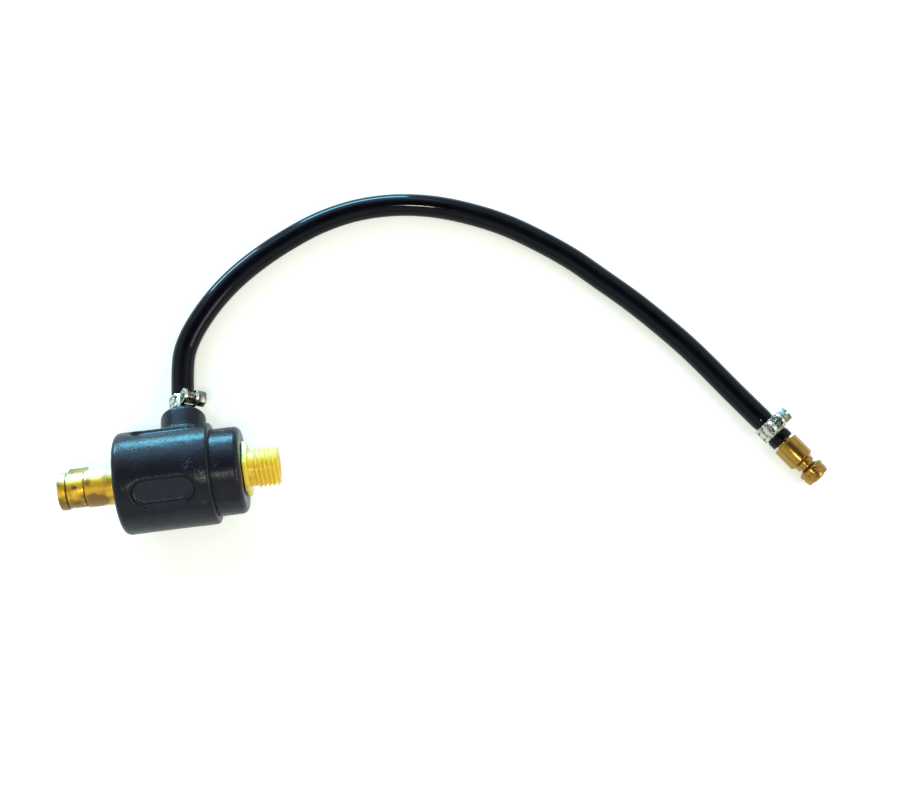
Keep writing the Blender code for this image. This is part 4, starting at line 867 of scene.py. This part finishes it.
class ADAPTOR_OT_bayonet_pin(bpy.types.Operator):
    """Turn the bayonet pin and raise its lug"""
    bl_idname = "adaptor.bayonet_pin"
    bl_label = "Bayonet pin"

    def execute(self, context):
        sizes, _, colours = settings(context)
        radius = sizes.pin_diameter / 2
        band = radius - 0.4 * MM
        groove = band - 0.35 * MM
        seat = BLOCK_LOW[0] - 0.2 * MM
        spigot = 4.5 * MM
        pin = turned("bayonet_pin_look", [
            (PIN_HIGH[0], 0.0), (PIN_HIGH[0], spigot, 0.25 * MM), (seat, spigot), (seat, radius),
            (9.3 * MM, radius, 0.15 * MM), (9.2 * MM, groove), (8.9 * MM, groove),
            (8.8 * MM, band, 0.08 * MM), (3.15 * MM, band, 0.08 * MM), (3.05 * MM, groove),
            (2.75 * MM, groove), (2.65 * MM, radius, 0.15 * MM), (0.0, radius, 0.6 * MM), (0.0, 0.0)], 128)
        combine(pin, self.lug(groove, radius + 1.1 * MM), "UNION")
        stains_and_shade = []
        for turn in DENT_TURNS:
            middle = round_plug(6.0 * MM, turn, band)
            combine(pin, self.dent(middle, turn), "DIFFERENCE")
            stains_and_shade.append((middle, 1.5 * MM))
        stains_and_shade += [(Vector((13.2, -5.0, 4.0)) * MM, 4.2 * MM), (Vector((0.2, 1.5, 6.2)) * MM, 2.4 * MM),
                   (Vector((0.3, -4.5, 4.6)) * MM, 3.0 * MM), (Vector((10.5, 0.6, 6.5)) * MM, 1.6 * MM)]
        # painted light: low_side darkens the -Y side as painted shade, and pale lightens the +Y side as a
        # painted highlight
        brass = turned_brass("turned_brass_handled", colours.pin_brass, colours.tarnish, spots=0.5,
                             roughness=0.34, marks=0.5, patch=5.0, stains_and_shade=stains_and_shade, low_side=0.09, pale=0.7,
                             metallic=0.7, roots=(band - 0.3 * MM, band - 0.08 * MM, colours.tarnish))
        finish_piece(pin, brass, "bayonet_pin", angle=40)
        return {"FINISHED"}

    def dent(self, middle, turn):
        """Shallow oval dent, longer along the pin."""
        deselect()
        bpy.ops.mesh.primitive_uv_sphere_add(segments=24, ring_count=12, radius=1.0)
        return place_new("dent", Matrix.Translation(middle) @ Matrix.Rotation(-radians(turn), 4, "X")
                         @ Matrix.Diagonal((1.15 * MM, 0.85 * MM, 0.22 * MM, 1.0)))

    def lug(self, foot, top):
        """Raised lug with a sloping lead, drawn from the side and thickened."""
        outwards = round_plug(0.0, LUG_TURN, 1.0)
        across = outwards.cross(Vector((1, 0, 0))).normalized()
        width = 4.2 * MM
        sunk = foot - 0.5 * MM
        side_view = [(2.8, sunk), (9.9, sunk), (9.9, top), (4.4, top), (2.8, foot)]
        points = [Vector((x * MM, 0, 0)) + outwards * height - across * width / 2 for x, height in side_view]
        lug = slab("lug", points, across * width)
        soften(lug, 0.25 * MM)
        return lug


class ADAPTOR_OT_torch_stud(bpy.types.Operator):
    """Turn the torch stud, its hexagonal flange and its thread"""
    bl_idname = "adaptor.torch_stud"
    bl_label = "Torch stud"

    def execute(self, context):
        sizes, _, colours = settings(context)
        end = STUD_HIGH[0]
        crest = sizes.thread_diameter / 2
        root = crest - THREAD_DEPTH * sizes.thread_pitch
        neck = 6.1 * MM
        hex_start = WASHER_HIGH[0] + 0.2 * MM
        hex_end = hex_start + 1.5 * MM
        thread_start = hex_end + 1.7 * MM
        spigot = 5.2 * MM
        bore = sizes.stud_bore / 2
        stud = turned("torch_stud_look", [
            (end, bore + 0.7 * MM, 0.1 * MM), (end, root, 0.3 * MM), (thread_start, root),
            (thread_start, neck), (hex_end - 0.3 * MM, neck), (hex_end - 0.3 * MM, spigot),
            (STUD_LOW[0], spigot, 0.2 * MM), (STUD_LOW[0], bore), (end - 0.7 * MM, bore)],
            128, segments=4, closed=True)
        flange = prism("flange", 6, sizes.hex_across_flats, hex_start, hex_end,
                       PLUG_AXIS @ Matrix.Rotation(FLANGE_TURN, 4, "Z"))
        corner = sizes.hex_across_flats / sqrt(3)
        chamfer = turned("chamfer", [(hex_start - 1.0 * MM, 0.0), (hex_start - 1.0 * MM, corner + 0.2 * MM),
                                     (hex_end - 0.75 * MM, corner + 0.2 * MM), (hex_end, corner - 1.1 * MM),
                                     (hex_end, 0.0)], 96)
        combine(flange, chamfer, "INTERSECT")
        soften(flange, 0.12 * MM)
        hollow = prism("hollow", 96, 2 * neck - 0.6 * MM, hex_start - 1 * MM, hex_end + 1 * MM, PLUG_AXIS)
        combine(flange, hollow, "DIFFERENCE")
        combine(stud, flange, "UNION")
        ridge = helix("thread", root, crest, sizes.thread_pitch, thread_start + 0.3 * MM, end + 0.6 * MM, 96,
                      PLUG_AXIS)
        top = crest + 0.05 * MM
        limit = turned("limit", [(end, root - 0.6 * MM), (end, root + 0.1 * MM), (end - 0.9 * MM, top),
                                 (thread_start + 0.6 * MM, top), (thread_start, root + 0.2 * MM),
                                 (thread_start, root - 0.6 * MM)], 128, closed=True)
        combine(ridge, limit, "INTERSECT")
        combine(stud, ridge, "UNION")
        # painted shade: tarnish at the top of the flange's +X face, where its edge lies in shade, and on the
        # flange's -Y side
        stains_and_shade = [(Vector((hex_end, 0.0, 8.0 * MM)), 2.0 * MM),
                  (Vector((hex_end, -7.0 * MM, 4.0 * MM)), 4.0 * MM)]
        # painted shade between the threads from the thread root colour, and a painted highlight on the +Y
        # side from pale
        brass = turned_brass("turned_brass_bright", colours.stud_brass, colours.tarnish, spots=0.16,
                             roughness=0.58, marks=0.25, stains_and_shade=stains_and_shade, pale=0.3, metallic=0.35,
                             roots=(root, crest - 0.2 * MM, colours.stud_root))
        finish_piece(stud, brass, "torch_stud", angle=32)
        return {"FINISHED"}


class ADAPTOR_OT_stud_washer(bpy.types.Operator):
    """Seat the fibre washer under the torch stud's flange"""
    bl_idname = "adaptor.stud_washer"
    bl_label = "Fibre washer"

    def execute(self, context):
        low, high, outer = WASHER_LOW[0], WASHER_HIGH[0], WASHER_HIGH[2]
        inner = outer - 3.0 * MM
        edge = 0.1 * MM
        washer = turned("stud_washer_look", [(high, inner, edge), (high, outer, edge), (low, outer, edge),
                                             (low, inner, edge)], 96, segments=3, closed=True)
        fibre = plain_finish("vulcanised_fibre", "221A17", 0.7, 0.0, 0.4)
        finish_piece(washer, fibre, "stud_washer")
        return {"FINISHED"}


class ADAPTOR_OT_gas_plug(bpy.types.Operator):
    """Turn the gas plug for a quick coupling"""
    bl_idname = "adaptor.gas_plug"
    bl_label = "Gas plug"

    def execute(self, context):
        _, hose, colours = settings(context)
        place = axes(HOSE_END, HOSE_END_DIRECTION, (0, 0, 1))
        body = hose.plug_diameter / 2 / MM
        tail = -(hose.hose_tail + hose.clip_width) / MM
        # mm beyond the hose's end, radius and rounding in mm: barbed tail, body, neck, ring and nose
        shapes = [
            (tail, 1.2), (tail, 2.0, 0.2), (tail + 0.6, 2.0), (tail + 2.5, 2.45), (tail + 2.6, 2.0),
            (-0.2, 2.0), (-0.2, 2.8, 0.1), (0.8, 2.8), (0.8, body, 0.4), (8.9, body, 0.15), (9.8, 3.4, 0.1),
            (11.4, 3.4, 0.12), (11.45, 2.6, 0.1), (12.0, 2.6, 0.1), (13.1, 4.65, 0.18), (14.3, 4.65, 0.15),
            (14.5, 4.25, 0.05), (14.9, 4.25, 0.05), (15.1, 4.6, 0.15), (17.4, 4.2, 0.25), (17.4, 2.2, 0.1),
            (17.8, 2.2, 0.1), (17.8, 1.2)]
        profile = [[value * MM for value in corner] for corner in shapes]
        plug = turned("gas_plug_look", profile, 96, place, 4, closed=True)
        brass = turned_brass("turned_brass_darkened", colours.plug_brass, colours.tarnish, spots=0.3,
                             roughness=0.22, marks=0.07, axis_turn=(0.0, 0.0, -HOSE_END_HEADING),
                             patch=4.0, metallic=1.0)
        finish_piece(plug, brass, "gas_plug")
        return {"FINISHED"}


# ---------------------------------------------------------------- hose clips
HOUSING_LENGTH = 5.2 * MM
POST_THICKNESS = 1.0 * MM
RAIL_HEIGHT = 1.0 * MM
LAP_GAP = 0.1 * MM


class ADAPTOR_OT_hose_clips(bpy.types.Operator):
    """Bend, stamp and screw up both worm-drive clips"""
    bl_idname = "adaptor.hose_clips"
    bl_label = "Hose clips"

    # Round the hose from the place's X axis: the strip starts at inner_start, winds once round, climbs
    # over its own start between tail_start and tail_lifted, and ends at tail_end.
    inner_start = radians(20)
    tail_start = radians(44)
    tail_lifted = radians(24)
    tail_end = radians(-218)

    def execute(self, context):
        sizes, hose, colours = settings(context)
        band_steel = plated_steel("zinc_plated_band", colours.steel, 0.16)
        screw_steel = plated_steel("zinc_plated_screw", colours.screw_steel, 0.2)
        near = boss_point(sizes, boss_end(sizes) + hose.clip_offset)
        far = HOSE_END - HOSE_END_DIRECTION * (hose.hose_tail + hose.clip_width / 2)
        for name, middle, along in (("near_clip", near, -BOSS_DIRECTION),
                                    ("far_clip", far, HOSE_END_DIRECTION)):
            place = axes(middle, along, self.screw_axis(name + "_screw_turn"))
            self.make_clip(name, place, hose, band_steel, screw_steel)
        return {"FINISHED"}

    def screw_axis(self, joint_name):
        """Direction of a clip's screw, towards its head, as its joint has it."""
        return next(Vector(joint["axis"]) for joint in frame["record"]["behaviour"]["joints"]
                    if joint["name"] == joint_name)

    def make_clip(self, name, place, hose, band_steel, screw_steel):
        inner = hose.hose_diameter / 2 - hose.hose_squeeze + 0.15 * MM
        outer = inner + hose.band_thickness
        screw_height = outer + 0.2 * MM + hose.screw_diameter / 2
        band = self.band(name, place, hose, inner)
        finish_piece(band, band_steel, name + "_band")
        housing = self.housing(name, place, hose, outer, screw_height)
        finish_piece(housing, band_steel, name + "_housing")
        screw = self.screw(name, place, hose, screw_height)
        finish_piece(screw, screw_steel, name + "_screw", name + "_screw_body", angle=32)

    def band(self, name, place, hose, inner):
        """A strip wound once round the hose and over its own start, with slots for the worm."""
        thick = hose.band_thickness
        turn = self.inner_start - (self.tail_end - 2 * pi)
        count = 150
        line = []
        for i in range(count + 1):
            angle = self.inner_start - turn * i / count
            share = ease((self.tail_start - 2 * pi - angle) / (self.tail_start - self.tail_lifted))
            radius = inner + (thick + LAP_GAP) * share
            line.append(place @ Vector((radius * cos(angle), radius * sin(angle), -hose.clip_width / 2)))
        across = place.to_3x3().col[2] * hose.clip_width
        band = drawn_line(name + "_band_look", line)
        bpy.ops.mesh.extrude_region_move(TRANSFORM_OT_translate={"value": across})
        bpy.ops.mesh.select_all(action="SELECT")
        bpy.ops.mesh.normals_make_consistent(inside=False)
        bpy.ops.object.mode_set(mode="OBJECT")
        # the strip's faces look away from the hose, so that its thickness goes outwards
        if sum(face.normal.dot(face.center - place.translation) for face in band.data.polygons) < 0:
            band.data.flip_normals()
        modify(band, "SOLIDIFY", thickness=thick, offset=1.0)
        outer = inner + 2 * thick + LAP_GAP
        for angle, offset, size in self.slots(hose):
            turned_place = place @ Matrix.Rotation(radians(angle), 4, "Z")
            tool = block("slot", (1.1 * MM, *size), turned_place @ Matrix.Translation((outer, 0, offset)))
            combine(band, tool, "DIFFERENCE")
        soften(band, 0.08 * MM, 2, 50)
        return band

    def slots(self, hose):
        """Two slits beside the tail's tongue and the window before it: degrees, offset, (along, across)."""
        slit = (2.9 * MM, 0.4 * MM)
        return [(168, hose.clip_width / 4, slit), (168, -hose.clip_width / 4, slit),
                (146, 0.0, (1.0 * MM, hose.clip_width / 2 + slit[1]))]

    def along_screw(self, place, screw_height):
        """Place on the screw's axis, with Z towards its head."""
        return place @ Matrix.Translation((0, screw_height, 0)) @ Matrix.Rotation(pi / 2, 4, "Y")

    def housing(self, name, place, hose, outer, screw_height):
        """Stamped bracket: an upright post at each end, joined by rails beside the screw."""
        half = hose.screw_diameter / 2 + 0.9 * MM
        foot = outer - 1.0 * MM
        top = [(half * cos(pi * i / 24), screw_height + half * sin(pi * i / 24)) for i in range(25)]
        side_view = [(half, foot)] + top + [(-half, foot)]
        outline = [place @ Vector((-HOUSING_LENGTH / 2, y, x)) for x, y in side_view]
        bracket = slab(name + "_housing_look", outline, place.to_3x3().col[0] * HOUSING_LENGTH)
        hole = prism("screw_hole", 48, hose.screw_diameter + 0.1 * MM, -HOUSING_LENGTH, HOUSING_LENGTH,
                     self.along_screw(place, screw_height))
        combine(bracket, hole, "DIFFERENCE")
        saddle = prism("saddle", 96, 2 * outer + 0.4 * MM, -hose.clip_width, hose.clip_width, place)
        combine(bracket, saddle, "DIFFERENCE")
        rail_top = outer + RAIL_HEIGHT
        above = 2 * screw_height
        gap = block("gap", (HOUSING_LENGTH - 2 * POST_THICKNESS, above - rail_top, 2 * hose.clip_width),
                    place @ Matrix.Translation((0, (rail_top + above) / 2, 0)))
        combine(bracket, gap, "DIFFERENCE")
        soften(bracket, 0.14 * MM, 3, 40)
        return bracket

    def screw(self, name, place, hose, screw_height):
        """Worm screw with a slotted hexagonal head."""
        along_screw = self.along_screw(place, screw_height)
        radius = hose.screw_diameter / 2
        root = radius - 0.4 * MM
        low = -HOUSING_LENGTH / 2 - 0.4 * MM
        head_start = HOUSING_LENGTH / 2 + 0.3 * MM
        shank_end = head_start + 0.8 * MM
        top = head_start + 2.6 * MM
        screw = turned(name + "_screw_look", [(shank_end, 0.0), (shank_end, root), (low, root, 0.3 * MM),
                                              (low, 0.0)], 64, along_screw, 3)
        ridge = helix("worm", root, radius, hose.screw_pitch, low + 0.5 * MM, head_start - 0.4 * MM, 48,
                      along_screw)
        combine(screw, ridge, "UNION")
        head = prism("head", 6, 4.8 * MM, head_start, top, along_screw)
        slot = block("slot", (0.8 * MM, 10 * MM, 2.2 * MM), along_screw @ Matrix.Translation((0, 0, top)))
        combine(head, slot, "DIFFERENCE")
        soften(head, 0.14 * MM, 3, 40)
        combine(screw, head, "UNION")
        return screw


# ---------------------------------------------------------------- inner pieces
class ADAPTOR_OT_inner_pieces(bpy.types.Operator):
    """Give the pieces inside the body their own finishes"""
    bl_idname = "adaptor.inner_pieces"
    bl_label = "Inner pieces"

    def execute(self, context):
        colours = settings(context)[2]
        plain_brass = turned_brass("turned_brass_plain", colours.pin_brass, colours.tarnish, spots=0.12,
                                   roughness=0.32, marks=0.3)
        steel = plain_finish("black_oxide_steel", "34353A", 0.45, 1.0, 0.8)
        seal = plain_finish("nitrile_seal_rubber", "16161A", 0.5, 0.0, 0.5)
        finishes = {
            "contact_block": plain_brass,
            "gas_nipple": plain_brass,
            "pin_lock_screw": steel,
            "stud_lock_screw": steel,
            "stud_o_ring": seal,
            "nipple_washer": plain_finish("red_fibre", "8A4030", 0.6, 0.0, 0.4),
            "insulating_liner": plain_finish("phenolic_tube", "7A3A22", 0.5, 0.0, 1.5),
        }
        for name, material in finishes.items():
            if name in frame["nodes"]:
                node = frame["nodes"][name]
                node.data.materials.clear()
                node.data.materials.append(material)
        return {"FINISHED"}


# ---------------------------------------------------------------- panel and registration
OPERATORS = [ADAPTOR_OT_stage, ADAPTOR_OT_rubber_sleeve, ADAPTOR_OT_end_collar, ADAPTOR_OT_bayonet_pin,
             ADAPTOR_OT_torch_stud, ADAPTOR_OT_stud_washer, ADAPTOR_OT_hose_clips, ADAPTOR_OT_gas_plug,
             ADAPTOR_OT_gas_hose, ADAPTOR_OT_inner_pieces]
GROUPS = {"adaptor_sizes": AdaptorSizes, "hose_sizes": HoseSizes, "adaptor_colours": AdaptorColours}


class ADAPTOR_PT_panel(bpy.types.Panel):
    """Steps and sizes of the adaptor"""
    bl_idname = "ADAPTOR_PT_panel"
    bl_label = "TIG torch adaptor"
    bl_space_type = "VIEW_3D"
    bl_region_type = "UI"
    bl_category = "Adaptor"

    def draw(self, context):
        for operator in OPERATORS:
            self.layout.operator(operator.bl_idname)
        for name, group in GROUPS.items():
            box = self.layout.box()
            for key in group.__annotations__:
                box.prop(getattr(context.scene, name), key)


def register():
    for group in GROUPS.values():
        bpy.utils.register_class(group)
    for name, group in GROUPS.items():
        setattr(bpy.types.Scene, name, PointerProperty(type=group))
    for operator in OPERATORS:
        bpy.utils.register_class(operator)
    bpy.utils.register_class(ADAPTOR_PT_panel)


def unregister():
    bpy.utils.unregister_class(ADAPTOR_PT_panel)
    for operator in reversed(OPERATORS):
        bpy.utils.unregister_class(operator)
    for name in GROUPS:
        delattr(bpy.types.Scene, name)
    for group in reversed(list(GROUPS.values())):
        bpy.utils.unregister_class(group)


def main():
    register()
    bpy.ops.adaptor.stage()
    bpy.ops.adaptor.rubber_sleeve()
    bpy.ops.adaptor.end_collar()
    bpy.ops.adaptor.bayonet_pin()
    bpy.ops.adaptor.torch_stud()
    bpy.ops.adaptor.stud_washer()
    bpy.ops.adaptor.hose_clips()
    bpy.ops.adaptor.gas_plug()
    bpy.ops.adaptor.gas_hose()
    bpy.ops.adaptor.inner_pieces()


if __name__ == "__main__":
    main()
